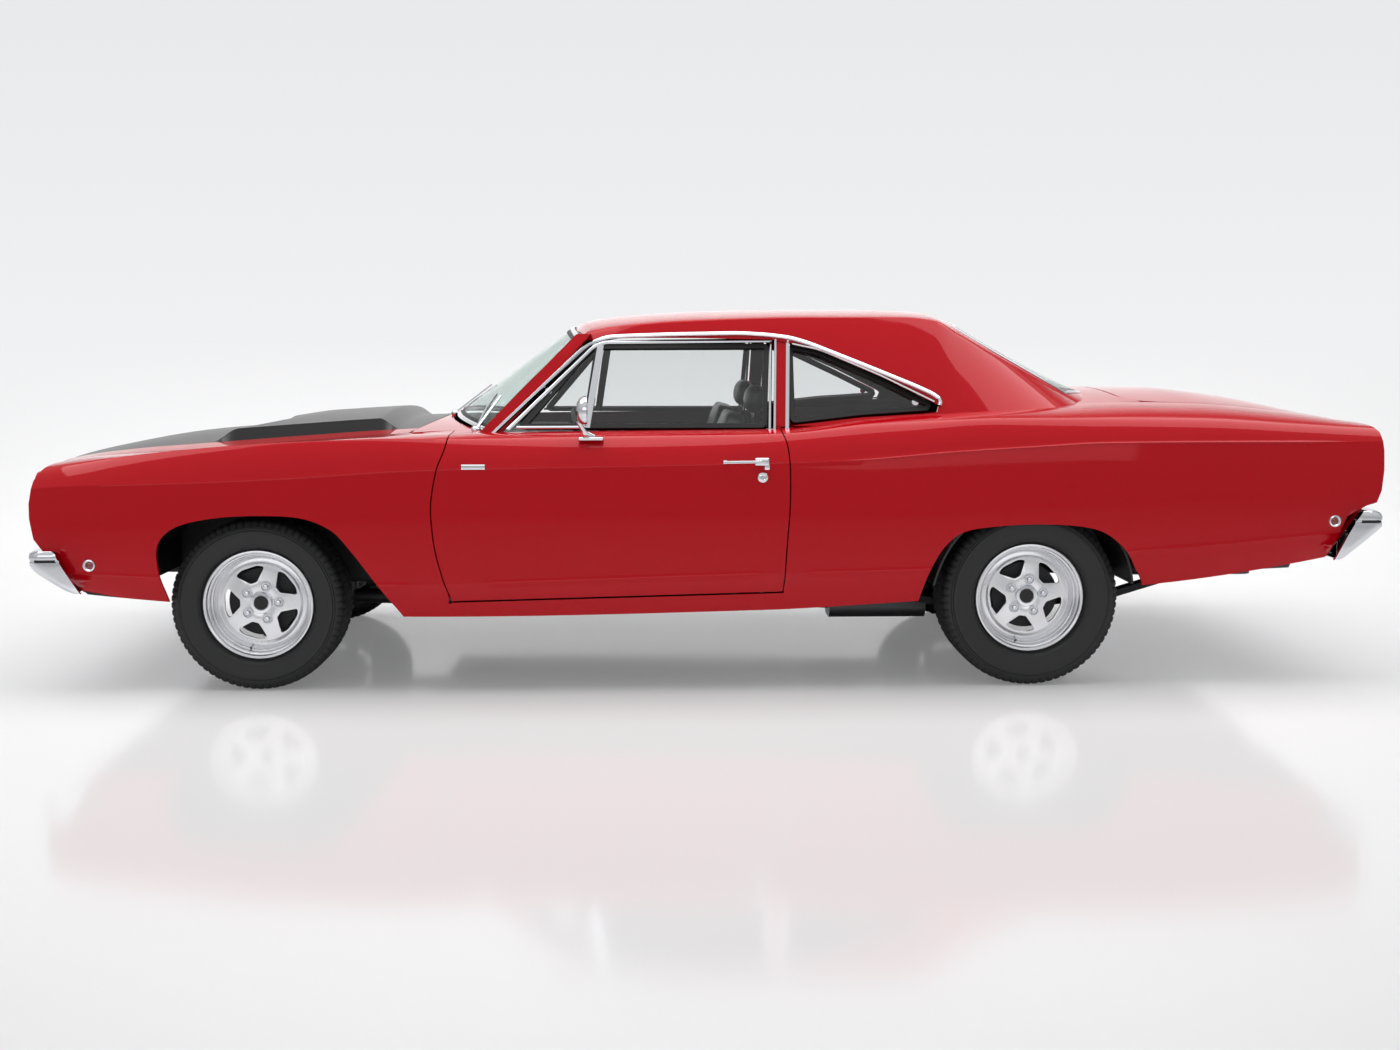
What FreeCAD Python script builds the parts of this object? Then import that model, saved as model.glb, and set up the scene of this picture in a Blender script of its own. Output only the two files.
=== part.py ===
# Two-door muscle car coupe, in millimetres: body panels, cabin, running gear and wheels.
# The frame below has X = 0 midway between the axles, the nose towards -X, the left side
# towards -Y and Z = 0 on the floor. Each piece is moved as it is saved, so that X = 0
# ends up in the middle of the overall length.
import FreeCAD, Part
import math
import os

os.makedirs("parts", exist_ok=True)

# Layout
wheelbase = 2946.0
front_track = 1511.0
rear_track = 1504.0
length_middle = 254.5
front_axle = -wheelbase / 2
rear_axle_x = wheelbase / 2

# Clearances
shut_gap = 5.0
swing_gap = 6.0
pillar_gap = 11.0
seat_gap = 0.3

# Thickness of skins, glass and doors
skin = 20.0
roof_skin = 20.0
glass = 6.0
door_depth_line = 878.0
door_top_line = 802.0
door_shoulder = (870.0, 930.0)
corner_half_width = 788.0

# Body side rows: x from the middle of the wheelbase against height or half width
half_width = [(-2340, 886), (-2150, 922), (-1900, 944), (-1500, 958), (-700, 968), (300, 970),
              (1300, 970), (1900, 962), (2400, 944), (2850, 910)]
bottom_z = [(-2340, 400), (-2077, 375), (-1800, 351), (-928, 292), (-718, 291), (429, 310),
            (962, 338), (1900, 398), (2591, 495), (2850, 560)]
lower_crease_z = [(-2340, 470), (-2099, 459), (-1824, 447), (-1017, 416), (-723, 421), (453, 455),
                  (1058, 468), (1829, 529), (2635, 598), (2850, 625)]
upper_crease_z = [(-2340, 772), (-2124, 788), (-1759, 799), (-1362, 815), (-838, 846), (300, 868),
                  (769, 880), (1137, 909), (1514, 932), (1703, 942), (2082, 945), (2850, 942)]
shoulder_z = [(-2340, 838), (-2227, 853), (-2150, 864), (-1963, 893), (-1740, 918), (-1369, 946),
              (-922, 961), (-619, 955), (-198, 951), (203, 957), (421, 965), (775, 988), (956, 1002),
              (1334, 1028), (1714, 1030), (2096, 1026), (2480, 1010), (2850, 992)]
upper_edge_z = [(-2340, 845), (-2227, 866), (-2098, 885), (-1716, 911), (-1333, 941), (-949, 967),
                (-600, 978), (0, 985), (500, 990), (853, 1030), (1100, 1048), (1500, 1068),
                (1880, 1082), (2143, 1078), (2480, 1050), (2850, 996)]
upper_edge_y = [(-2340, 700), (-1000, 700), (-600, 800), (0, 820), (600, 820), (1300, 745),
                (1700, 650), (2850, 640)]
centre_z = [(-2340, 852), (-2230, 882), (-1865, 944), (-1486, 972), (-934, 1003), (-600, 1010),
            (1300, 1060), (1700, 1110), (1880, 1123), (2143, 1122), (2400, 1097), (2770, 1012),
            (2850, 992)]
crease_inset = [(-2340, 12), (-838, 10), (300, 12), (1137, 16), (2850, 16)]
shoulder_inset = [(-2340, 70), (-1900, 78), (-600, 66), (300, 68), (1300, 74), (2850, 66)]
bottom_inset = 46.0
lower_crease_inset = 5.0
body_stations = [-2340, -2230, -2100, -1900, -1650, -1350, -1050, -750, -400, 0, 400, 750, 1050,
                 1350, 1650, 1900, 2150, 2400, 2620, 2770, 2850]

# Greenhouse rows
belt_y = [(-400, 812), (0, 822), (600, 826), (1300, 822), (1950, 800)]
belt_z = [(-400, 975), (0, 978), (600, 985), (1100, 1020), (1950, 1010)]
roof_edge_y = [(-400, 596), (-100, 628), (400, 640), (1000, 632), (1300, 612), (1950, 600)]
roof_edge_z = [(-400, 1290), (-256, 1343), (-100, 1374), (150, 1396), (662, 1411), (1000, 1411),
               (1132, 1398), (1232, 1342), (1391, 1250), (1552, 1163), (1693, 1085), (1950, 960)]
roof_centre_z = [(-400, 1350), (-301, 1384), (-194, 1413), (19, 1435), (233, 1446), (662, 1453),
                 (877, 1453), (1092, 1446), (1222, 1417), (1300, 1378), (1529, 1258), (1700, 1172),
                 (1860, 1098), (1950, 1056)]
roof_stations = [-400, -300, -180, 0, 250, 550, 850, 1050, 1140, 1210, 1290, 1400, 1550, 1700, 1830,
                 1950]
roof_base_z = 900.0

# Side outlines: x against height
nose_outline = [(-2210, 1500), (-2226, 880), (-2262, 842), (-2284, 806), (-2299, 719), (-2298, 663),
                (-2284, 588), (-2259, 556), (-2100, 380), (-2092, 200)]
tail_outline = [(2600, 300), (2604, 492), (2669, 660), (2745, 700), (2784, 711), (2801, 757),
                (2809, 833), (2809, 910), (2801, 976), (2772, 1014), (2730, 1500)]
door_front_line = [(-700, 200), (-714, 292), (-728, 357), (-756, 437), (-784, 550), (-796, 662),
                   (-795, 737), (-774, 849), (-742, 942), (-718, 1100)]
door_rear_line = [(514, 384), (519, 430), (527, 560), (537, 700), (538, 845), (529, 938),
                  (508, 1000), (500, 1100)]
door_sill_front_z = 355.0
door_sill_rear_z = 386.0
front_arch = [(-1780, 200), (-1791, 356), (-1813, 461), (-1817, 555), (-1781, 613), (-1707, 650),
              (-1577, 673), (-1430, 679), (-1283, 670), (-1174, 627), (-1102, 551), (-1013, 430),
              (-900, 270), (-880, 200)]
rear_arch = [(1000, 200), (1033, 350), (1069, 465), (1125, 559), (1199, 612), (1332, 632),
             (1483, 638), (1635, 629), (1731, 602), (1810, 537), (1858, 460), (1890, 400),
             (1950, 200)]
window_outline = [(-560, 940), (-520, 990), (-228, 1325), (-150, 1335), (211, 1333), (483, 1328),
                  (677, 1293), (913, 1192), (1120, 1078), (1112, 1052), (1060, 1046), (826, 1033),
                  (560, 1003), (540, 940)]
pillar_base_x = (492.0, 534.0)
pillar_top_x = (500.0, 552.0)
post_x = (548.0, 592.0)
post_y = (780.0, 862.0)

# Lids: plan outlines
hood_half_width = 694.0
hood_front_x = -2222.0
hood_front_bow = 34.0
hood_rear_x = -916.0
hood_rear_bow = 69.0
hood_skin = 22.0
lid_half_width = 628.0
lid_front_x = 1902.0
lid_rear_x = 2752.0
lid_front_radius = 190.0
cowl_rear_x = -600.0
cowl_corner_x = -741.0
backlight_top_x = 1232.0
backlight_top_bow = 26.0
backlight_top_half = 528.0
backlight_base_x = 1664.0
backlight_base_bow = 178.0
backlight_base_half = 578.0
roof_seam_x = 1120.0
roof_low_z = 1250.0

# Hood bulge with a side scoop on each flank
bulge_half_width = 566.0
bulge_front_x = -1730.0
bulge_rear_x = -1030.0
bulge_fade = 130.0
bulge_height = 44.0
bulge_flank = 22.0
scoop_depth = 26.0
scoop_front_x = -1650.0
scoop_rear_x = -1075.0
scoop_slats = 3
scoop_slat_height = 6.0

# Windshield: half width, x and height at the ends and the middle of the base and the top
screen_base = (758.0, -604.0, 984.0, -786.0, 1022.0)
screen_top = (588.0, -262.0, 1336.0, -306.0, 1376.0)
screen_thickness = 10.0
a_pillar_base = (-648.0, -566.0, 750.0, 794.0, 962.0)
hinge_pillar = (-850.0, -590.0, 712.6, 788.0, 345.0, 975.0)
a_pillar_top = (-268.0, -212.0, 594.0, 660.0, 1348.0)

# Nose
surround_half_width = 900.0
header_low_z = 815.0
surround_z = (578.0, 838.0)
surround_x = (-2290.0, -2236.0)
surround_rim = 34.0
surround_corner = 40.0
grille_x = (-2246.0, -2214.0)
grille_bars = 9
grille_bar = 7.0
grille_posts = 5
lamp_plate_y = 440.0
headlamp_radius = 73.0
headlamp_y = (532.0, 706.0)
headlamp_z = 706.0
headlamp_x = (-2262.0, -2200.0)
headlamp_ring = 9.0
lens_radius = 174.0
lens_bulge = 14.0
valance_half_width = 868.0
valance_line = [(-2238, 552), (-2222, 505), (-2106, 392)]
valance_skin = 14.0

# Bumpers: side outlines and plan bands
front_bumper_outline = [(-2345, 502), (-2338, 540), (-2262, 557), (-2172, 543), (-2118, 382),
                        (-2185, 416), (-2300, 486)]
rear_bumper_outline = [(2690, 642), (2727, 677), (2838, 664), (2842, 632), (2797, 600), (2677, 503),
                       (2632, 506)]
front_bumper_nose_x = -2320.0
front_bumper_end_x = -2100.0
rear_bumper_nose_x = 2829.0
rear_bumper_end_x = 2610.0
bumper_half_width = 962.0
bumper_corner = 60.0
bumper_bow = 24.0
bumper_wall = 40.0

# Tail
tail_panel_x = (2752.0, 2790.0)
tail_panel_half_width = 878.0
tail_panel_z = (716.0, 992.0)
tail_lamp_y = (440.0, 842.0)
tail_lamp_z = (790.0, 912.0)
tail_lamp_depth = 26.0
tail_lamp_corner = 18.0
rear_valance_line = [(2738, 690), (2700, 640), (2606, 506)]
plate_spacing = 178.0
plate_hole_radius = 3.5
plate_z = 748.0
lid_rear_room = 4.0
marker_radius = 22.0
marker_front = (-2072.0, 493.0)
marker_rear = (2619.0, 642.0)
marker_proud = 7.0

# Underbody
floor_z = 325.0
floor_sheet = 14.0
floor_line = [(-690, 1000), (-690, 920), (-700, 640), (-640, 490), (-470, 338), (980, 372), (1130, 440),
              (1230, 560), (1330, 590), (1820, 560), (1900, 530), (2560, 530), (2640, 590)]
floor_half_width = 712.0
floor_rear_half_width = 600.7
floor_rear_x = 1040.0
tunnel_half_width = 150.0
tunnel_height = 190.0
tunnel_sheet = 12.0
tunnel_x = (-610.0, 1080.0)
front_rail_y = (340.0, 410.0)
front_rail_x = (-2105.0, -560.0)
front_rail_z = (392.0, 470.0)
rear_rail_y = (470.0, 530.0)
rear_rail_z = (450.0, 518.0)
rear_rail_x = (1905.0, 2600.0)
radiator_x = (-2090.0, -2060.0)
radiator_half_width = 350.0
radiator_z = (392.0, 800.0)
sill_inner = 712.6
sill_top_drop = 7.0

# Wheelhouses
front_house_line = [(-1880, 425), (-1872, 560), (-1795, 668), (-1650, 722), (-1430, 732),
                    (-1215, 715), (-1090, 645), (-990, 520), (-885, 345)]
front_house_y = (448.0, 970.0)
rear_house_radius = 392.0
rear_house_y = (601.0, 970.0)
house_sheet = 8.0

# Wheels
rim_flange_radius = 208.0
rim_barrel_radius = 191.0
rim_wall = 8.0
front_rim_width = 186.0
rear_rim_width = 206.0
front_tyre_radius = 328.0
rear_tyre_radius = 341.0
front_tyre_width = 240.0
rear_tyre_width = 260.0
spoke_plane = 62.0
spoke_thickness = 22.0
spoke_rim_drop = 26.0
spoke_hub_rise = 8.0
spoke_count = 5
hub_radius = 82.0
lug_circle = 114.3
lug_radius = 10.0
lug_length = 24.0
cap_radius = 32.0
cap_length = 26.0
window_inner = 80.0
window_outer = 141.0
window_inner_half = 13.0
window_outer_half = 44.0
window_turn = {"front": -19.0, "rear": -27.0}
window_corner = 13.0
hub_bore = 36.0
rim_bore_gap = 0.3

# Front end: knuckles, arms and crossmember
kingpin_y = 662.0
drum_radius = 130.0
drum_width = 60.0
knuckle_half_height = 128.0
knuckle_thickness = 34.0
arm_width = 46.0
king_pin_radius = 11.0
arm_thickness = 22.0
crossmember_half_width = 330.0
crossmember_size = (150.0, 90.0)
crossmember_z = (240.0, 329.7)

# Rear end
axle_tube_radius = 38.0
diff_radius = 120.0
diff_length = 150.0
shaft_radius = 38.0
shaft_front = (-556.0, 405.0)
spring_y = 560.0
spring_width = 62.0
spring_thickness = 26.0
spring_line = [(930, 330), (1150, 300), (1473, 278), (1860, 318), (2130, 400)]
shackle = (2130.0, 400.0, 470.0)
rear_drum_radius = 128.0
rear_drum_width = 70.0

# Engine and gearbox
engine_x = (-1890.0, -1080.0)
engine_half_width = 290.0
engine_z = (330.0, 830.0)
gearbox_x = (-1080.0, -560.0)
gearbox_half_width = 125.0
gearbox_z = (332.0, 480.0)

# Exhaust and tank
exhaust_radius = 30.0
exhaust_route = [(-1240, 215, 329.7), (-1240, 215, 262), (-700, 250, 250), (330, 240, 255),
                 (755, 430, 262)]
muffler_x = (740.0, 1130.0)
muffler_y = 430.0
muffler_radius = (95.0, 58.0)
muffler_z = 262.0
tail_pipe_route = [(1120, 430, 262), (1230, 400, 310), (1340, 380, 470), (1600, 380, 470),
                   (1760, 420, 396), (2080, 640, 430), (2560, 640, 452)]
hanger_x = (2290.0, 2310.0)
muffler_hanger = (880.0, 900.0, 420.0, 440.0)
bump_post = (-2075.0, 300.0, 12.0)
lid_ledge = (2714.0, 60.0)
front_bracket = (-2290.0, -2236.0, 345.0, 405.0, 508.0, 536.0)
rear_bracket = (2706.0, 2792.0, 470.0, 530.0, 636.0, 662.0)
pin_radius = 10.0
pin_height = 38.0
tank_x = (1960.0, 2520.0)
tank_half_width = 400.0
tank_z = (360.0, 515.7)
tank_corner = 60.0

# Cabin
dash_x = (-689.7, -330.0)
dash_half_width = 712.0
dash_z = (700.0, 940.0)
dash_corner = 60.0
column_start = (-520.0, 752.0)
column_end = (-225.0, 862.0)
column_radius = 26.0
driver_y = -388.0
wheel_ring_radius = 190.0
wheel_ring_section = 13.0
front_seat_half_width = 248.0
front_cushion_x = (-270.0, 262.0)
front_cushion_z = (420.0, 585.0)
front_back_base_x = 222.0
front_back_rake = 165.0
front_back_thickness = 130.0
front_back_z = (455.0, 1005.0)
headrest_size = (90.0, 130.0, 150.0)
headrest_lift = 34.0
rear_seat_half_width = 590.0
rear_cushion_x = (800.0, 1290.0)
rear_cushion_z = (395.0, 600.0)
rear_back_base_x = 1215.0
rear_back_rake = 190.0
rear_back_thickness = 120.0
rear_back_z = (580.0, 1010.0)
seat_corner = 34.0

# Mirror and handle
mirror_foot = (-206.0, -150.0, 962.0)
mirror_head = (-256.0, 1010.0, 1106.0)
mirror_y = (905.0, 972.0)
mirror_radius = 58.0
handle_x = (300.0, 462.0)
handle_z = 874.0
handle_stand = 22.0
handle_bar = 12.0

hinge_x = -700.0
hinge_y = 900.0

Vector = FreeCAD.Vector
X_DIR = Vector(1, 0, 0)
Y_DIR = Vector(0, 1, 0)
Z_DIR = Vector(0, 0, 1)
ORIGIN = Vector(0, 0, 0)


def smooth(table, x):
    """Value at x of a monotone cubic through rows of (x, value)."""
    if x <= table[0][0]:
        return float(table[0][1])
    if x >= table[-1][0]:
        return float(table[-1][1])
    slopes = [(b[1] - a[1]) / (b[0] - a[0]) for a, b in zip(table, table[1:])]
    tangents = [slopes[0]]
    for before, after in zip(slopes, slopes[1:]):
        tangents.append(2 * before * after / (before + after) if before * after > 0 else 0.0)
    tangents.append(slopes[-1])
    row = max(i for i, item in enumerate(table[:-1]) if item[0] <= x)
    step = table[row + 1][0] - table[row][0]
    t = (x - table[row][0]) / step
    start = (1 + 2 * t) * (1 - t) ** 2 * table[row][1] + t * (1 - t) ** 2 * step * tangents[row]
    end = t * t * (3 - 2 * t) * table[row + 1][1] - t * t * (1 - t) * step * tangents[row + 1]
    return start + end


def largest(shape):
    """The main solid of a cut, without the slivers beside it."""
    return max(shape.Solids, key=lambda solid: solid.Volume)


def box(x0, x1, y0, y1, z0, z1):
    return Part.makeBox(x1 - x0, y1 - y0, z1 - z0, Vector(x0, y0, z0))


def mirrored(shape):
    return shape.mirror(ORIGIN, Y_DIR)


def both(shape):
    return Part.makeCompound([shape, mirrored(shape)])


def face_of(points, corner=0.0):
    """Flat face inside a closed outline of 3D points, its corners rounded where asked."""
    if corner <= 0:
        return Part.Face(Part.makePolygon(points + [points[0]]))
    edges = []
    count = len(points)
    starts = []
    ends = []
    mids = []
    for i, here in enumerate(points):
        to_last = (points[i - 1] - here).normalize()
        to_next = (points[(i + 1) % count] - here).normalize()
        half = to_last.getAngle(to_next) / 2
        reach = min(corner / math.tan(half), 0.48 * (points[i - 1] - here).Length,
                    0.48 * (points[(i + 1) % count] - here).Length)
        radius = reach * math.tan(half)
        middle = (to_last + to_next).normalize()
        starts.append(here + to_last * reach)
        ends.append(here + to_next * reach)
        mids.append(here + middle * (radius / math.sin(half) - radius))
    for i in range(count):
        edges.append(Part.Arc(starts[i], mids[i], ends[i]).toShape())
        edges.append(Part.LineSegment(ends[i], starts[(i + 1) % count]).toShape())
    return Part.Face(Part.Wire(edges))


def prism_y(outline, y0, y1, corner=0.0):
    """Outline of (x, z) points pushed from y0 to y1."""
    return face_of([Vector(x, y0, z) for x, z in outline], corner).extrude(Vector(0, y1 - y0, 0))


def prism_x(outline, x0, x1, corner=0.0):
    """Outline of (y, z) points pushed from x0 to x1."""
    return face_of([Vector(x0, y, z) for y, z in outline], corner).extrude(Vector(x1 - x0, 0, 0))


def prism_z(outline, z0, z1, corner=0.0):
    """Outline of (x, y) points pushed from z0 to z1."""
    return face_of([Vector(x, y, z0) for x, y in outline], corner).extrude(Vector(0, 0, z1 - z0))


def curved_outline(points):
    """The points of an open outline, with more points on a smooth curve through them."""
    curve = Part.BSplineCurve()
    curve.interpolate([Vector(x, 0, z) for x, z in points])
    return curve


def curve_prism(curve_points, closing_points, y0, y1):
    """Prism along Y whose outline is a smooth curve closed by straight lines."""
    curve = curved_outline(curve_points)
    curve_edge = curve.toShape()
    corners = [Vector(x, 0, z) for x, z in [curve_points[-1]] + closing_points + [curve_points[0]]]
    lines = [Part.LineSegment(a, b).toShape() for a, b in zip(corners, corners[1:])]
    face = Part.Face(Part.Wire([curve_edge] + lines))
    face.translate(Vector(0, y0, 0))
    return face.extrude(Vector(0, y1 - y0, 0))


def offset_line(points, thickness):
    """Closed outline of a sheet of even thickness laid on the right of an open line."""
    normals = []
    for a, b in zip(points, points[1:]):
        length = math.hypot(b[0] - a[0], b[1] - a[1])
        normals.append(((b[1] - a[1]) / length, -(b[0] - a[0]) / length))
    moved = []
    for i, (x, z) in enumerate(points):
        before = normals[max(i - 1, 0)]
        after = normals[min(i, len(normals) - 1)]
        scale = thickness / (1 + before[0] * after[0] + before[1] * after[1])
        moved.append((x + scale * (before[0] + after[0]), z + scale * (before[1] + after[1])))
    return list(points) + moved[::-1]


def cylinder_y(x, z, radius, y0, y1):
    return Part.makeCylinder(radius, y1 - y0, Vector(x, y0, z), Y_DIR)


def turned_y(profile, x, z, side=1):
    """Ring made by turning (radius, y) points about an axis along Y through (x, z)."""
    points = [Vector(x, side * y, z + radius) for radius, y in profile]
    return face_of(points).revolve(Vector(x, 0, z), Y_DIR, 360)


def rod(start, end, radius):
    return Part.makeCylinder(radius, (end - start).Length, start, end - start)


def bezier(points):
    curve = Part.BezierCurve()
    curve.setPoles(points)
    return curve.toShape()


def pipe(route, radius, bend):
    """Round bar along straight runs joined by arcs."""
    points = [Vector(*point) for point in route]
    edges = []
    start = points[0]
    for before, here, after in zip(points, points[1:], points[2:]):
        to_last = (before - here).normalize()
        to_next = (after - here).normalize()
        half = to_last.getAngle(to_next) / 2
        reach = min(bend / math.tan(half), 0.45 * (before - here).Length,
                    0.45 * (after - here).Length)
        arc_radius = reach * math.tan(half)
        middle = (to_last + to_next).normalize()
        arc_start = here + to_last * reach
        arc_end = here + to_next * reach
        edges.append(Part.LineSegment(start, arc_start).toShape())
        arc_middle = here + middle * (arc_radius / math.sin(half) - arc_radius)
        edges.append(Part.Arc(arc_start, arc_middle, arc_end).toShape())
        start = arc_end
    edges.append(Part.LineSegment(start, points[-1]).toShape())
    circle = Part.Wire(Part.makeCircle(radius, points[0], points[1] - points[0]))
    return Part.Wire(edges).makePipeShell([circle], True, False)


def side_rows(x, inset):
    """Rows of one half section of the lower body, from the bottom edge to the centre line."""
    width = smooth(half_width, x)
    shoulder_y = width - smooth(shoulder_inset, x)
    drop = 160.0 if inset > 0 else 0.0
    lean = (bottom_inset - lower_crease_inset) / (smooth(lower_crease_z, x) - smooth(bottom_z, x))
    bottom = (width - bottom_inset - inset - drop * lean, smooth(bottom_z, x) - drop)
    lower = (width - lower_crease_inset - inset, smooth(lower_crease_z, x))
    upper = (width - smooth(crease_inset, x) - inset, smooth(upper_crease_z, x) - 0.2 * inset)
    shoulder = (shoulder_y - 0.75 * inset, smooth(shoulder_z, x) - 0.7 * inset)
    edge = (smooth(upper_edge_y, x), smooth(upper_edge_z, x) - inset)
    centre = (0.0, smooth(centre_z, x) - inset)
    return bottom, lower, upper, shoulder, edge, centre, width - inset


def between(a, b, t, push=(0.0, 0.0)):
    return (a[0] + (b[0] - a[0]) * t + push[0], a[1] + (b[1] - a[1]) * t + push[1])


def body_section(x, inset):
    """Closed section wire of the lower body at x, of cubic curves between its rows."""
    bottom, lower, upper, shoulder, edge, centre, width = side_rows(x, inset)
    bulge = (width - (lower[0] + upper[0]) / 2) / 0.75
    rise = edge[1] - shoulder[1]
    crown = centre[1] - edge[1]
    strips = [
        (bottom, between(bottom, lower, 1 / 3, (7, 0)), between(bottom, lower, 2 / 3, (8, 0)), lower),
        (lower, between(lower, upper, 1 / 3, (bulge, 0)), between(lower, upper, 2 / 3, (bulge, 0)),
         upper),
        (upper, between(upper, shoulder, 1 / 3, (5, 3)), between(upper, shoulder, 2 / 3, (9, 6)),
         shoulder),
        (shoulder, between(shoulder, edge, 0.2, (0, 0.3 * rise + 4)),
         between(shoulder, edge, 0.6, (0, 0.25 * rise + 2)), edge),
        (edge, between(edge, centre, 0.33, (0, 0.3 * crown)), (0.35 * edge[0], centre[1]), centre),
    ]
    left = [[Vector(x, -y, z) for y, z in strip] for strip in strips]
    right = [[Vector(x, y, z) for y, z in reversed(strip)] for strip in reversed(strips)]
    edges = [bezier(poles) for poles in left + right]
    edges.append(Part.LineSegment(right[-1][-1], left[0][0]).toShape())
    return Part.Wire(edges)


def roof_section(x, inset):
    """Closed section wire of the greenhouse at x."""
    base = (smooth(belt_y, x) + 8 - inset, roof_base_z)
    belt = (smooth(belt_y, x) - inset, smooth(belt_z, x))
    edge = (smooth(roof_edge_y, x) - 0.6 * inset, smooth(roof_edge_z, x) - 0.8 * inset)
    centre = (0.0, smooth(roof_centre_z, x) - inset)
    crown = centre[1] - edge[1]
    lean = (edge[0] - belt[0], edge[1] - belt[1])
    strips = [
        (base, between(base, belt, 1 / 3), between(base, belt, 2 / 3), belt),
        (belt, between(belt, edge, 1 / 3, (6, 2)), between(belt, edge, 0.72, (14, 4)), edge),
        (edge, (edge[0] + 0.18 * lean[0], edge[1] + 0.42 * crown),
         (0.5 * edge[0], centre[1]), centre),
    ]
    left = [[Vector(x, -y, z) for y, z in strip] for strip in strips]
    right = [[Vector(x, y, z) for y, z in reversed(strip)] for strip in reversed(strips)]
    edges = [bezier(poles) for poles in left + right]
    edges.append(Part.LineSegment(right[-1][-1], left[0][0]).toShape())
    return Part.Wire(edges)


def body_solid(inset):
    return Part.makeLoft([body_section(x, inset) for x in body_stations], True, False)


def roof_solid(inset):
    return Part.makeLoft([roof_section(x, inset) for x in roof_stations], True, False)


def shut_x(line, z):
    """X of a shut line at height z."""
    return smooth([(height, x) for x, height in sorted(line, key=lambda point: point[1])], z)


def plan_outline(front_x, front_bow, rear_x, rear_bow, front_half, rear_half, steps=8):
    """Plan outline of a lid whose front and rear edges bow along X towards the middle."""
    points = []
    for i in range(steps + 1):
        t = 2 * i / steps - 1
        points.append((front_x + front_bow * (1 - t * t), t * front_half))
    for i in range(steps + 1):
        t = 1 - 2 * i / steps
        points.append((rear_x + rear_bow * (1 - t * t), t * rear_half))
    return points


def save(name, shape):
    moved = shape.copy()
    moved.translate(Vector(-length_middle, 0, 0))
    if len(moved.Solids) == 1:
        moved = moved.Solids[0]
    print(name, len(moved.Solids), moved.isValid(), round(moved.Volume / 1e6, 3))
    moved.exportStep("parts/" + name + ".step")


body = body_solid(0)
body_inner = body_solid(skin)
cabin_top = roof_solid(0)
cabin_inner = roof_solid(roof_skin)
glass_inner = roof_solid(glass)
body_room = body_solid(skin + seat_gap)
under_lids = body_solid(hood_skin)
under_rests = body_solid(hood_skin + seat_gap)
body_outside = body_solid(-seat_gap)
nose_limit = prism_y(nose_outline + [(700, 200), (700, 1500)], -1100, 1100)
tail_limit = prism_y(tail_outline + [(-700, 1500), (-700, 300)], -1100, 1100)


def door_sweep(side):
    """Room that the front edge of a door turns in, about its hinge line."""
    heights = [door_sill_front_z - swing_gap, 437, 550, 662, 737, 849, 942, 1040]
    profile = [Vector(hinge_x, side * hinge_y, heights[0])]
    for z in heights:
        skin_y = smooth(half_width, hinge_x) - (60 if z > 900 else 0)
        reach = math.hypot(hinge_x - shut_x(door_front_line, z), skin_y - hinge_y)
        profile.append(Vector(hinge_x - reach - swing_gap, side * hinge_y, z))
    profile.append(Vector(hinge_x, side * hinge_y, heights[-1]))
    return face_of(profile).revolve(Vector(hinge_x, side * hinge_y, 0), Z_DIR, 360)


def door_outline(grow):
    """Closed side outline of a door, grown by a clearance."""
    front = [(x - grow, z) for x, z in door_front_line if z > door_sill_front_z - 1]
    rear = [(x + grow, z) for x, z in door_rear_line]
    front[0] = (front[0][0], door_sill_front_z - grow)
    rear[0] = (rear[0][0], door_sill_rear_z - grow)
    return front, rear


def door_blank(grow):
    front, rear = door_outline(grow)
    curve_front = curved_outline(front).toShape()
    curve_rear = curved_outline(rear).toShape()
    top = Part.LineSegment(Vector(front[-1][0], 0, front[-1][1]), Vector(rear[-1][0], 0, rear[-1][1]))
    low = Part.LineSegment(Vector(rear[0][0], 0, rear[0][1]), Vector(front[0][0], 0, front[0][1]))
    face = Part.Face(Part.Wire([curve_front, top.toShape(), curve_rear, low.toShape()]))
    face.translate(Vector(0, -1100, 0))
    return face.extrude(Vector(0, 400, 0))


def door_room():
    """Space of the cabin inside the door's inner face."""
    low, high = door_shoulder
    outline = [(-door_depth_line, 0), (-door_depth_line, low), (-door_top_line, high),
               (-door_top_line, 1300), (0, 1300), (0, 0)]
    return prism_x(outline, -1000, 700)


def window_prism(y0, y1):
    return prism_y(window_outline, y0, y1)


def hinge_pin(grow):
    """Lower hinge pin of the left door, standing on the rocker."""
    foot = Vector(hinge_x, -hinge_y, door_sill_front_z - 2 * sill_top_drop)
    return Part.makeCylinder(pin_radius + grow, pin_height + 2 * sill_top_drop + grow, foot, Z_DIR)


def make_doors():
    blank = body.common(door_blank(0)).cut(door_room())
    handle = box(handle_x[0], handle_x[1], -972 - handle_stand, -972 - handle_stand + handle_bar,
                 handle_z - 8, handle_z + 8)
    post_a = box(handle_x[0], handle_x[0] + 24, -972 - handle_stand, -950, handle_z - 8, handle_z + 8)
    post_b = box(handle_x[1] - 40, handle_x[1], -972 - handle_stand, -950, handle_z - 16, handle_z + 8)
    return blank.fuse([handle, post_a, post_b]).cut(hinge_pin(seat_gap)).removeSplitter()


def glass_plane(x, inward, z):
    """Half width of the side glass at height z, leaning in with the pillars."""
    low = smooth(belt_y, x)
    high = smooth(roof_edge_y, x)
    base = smooth(belt_z, x)
    top = smooth(roof_edge_z, x)
    return low + (high - low) * (z - base) / (top - base) - inward


def leaning_pane(outline, thickness, inward):
    """Flat pane with the given side outline, in the plane of the side windows."""
    low_z, high_z = 985.0, 1330.0
    low_y = glass_plane(200, inward, low_z)
    high_y = glass_plane(200, inward, high_z)
    slope = (high_y - low_y) / (high_z - low_z)
    points = [Vector(x, -(low_y + slope * (z - low_z)), z) for x, z in outline]
    return face_of(points).extrude(Vector(0, thickness, 0))


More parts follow.
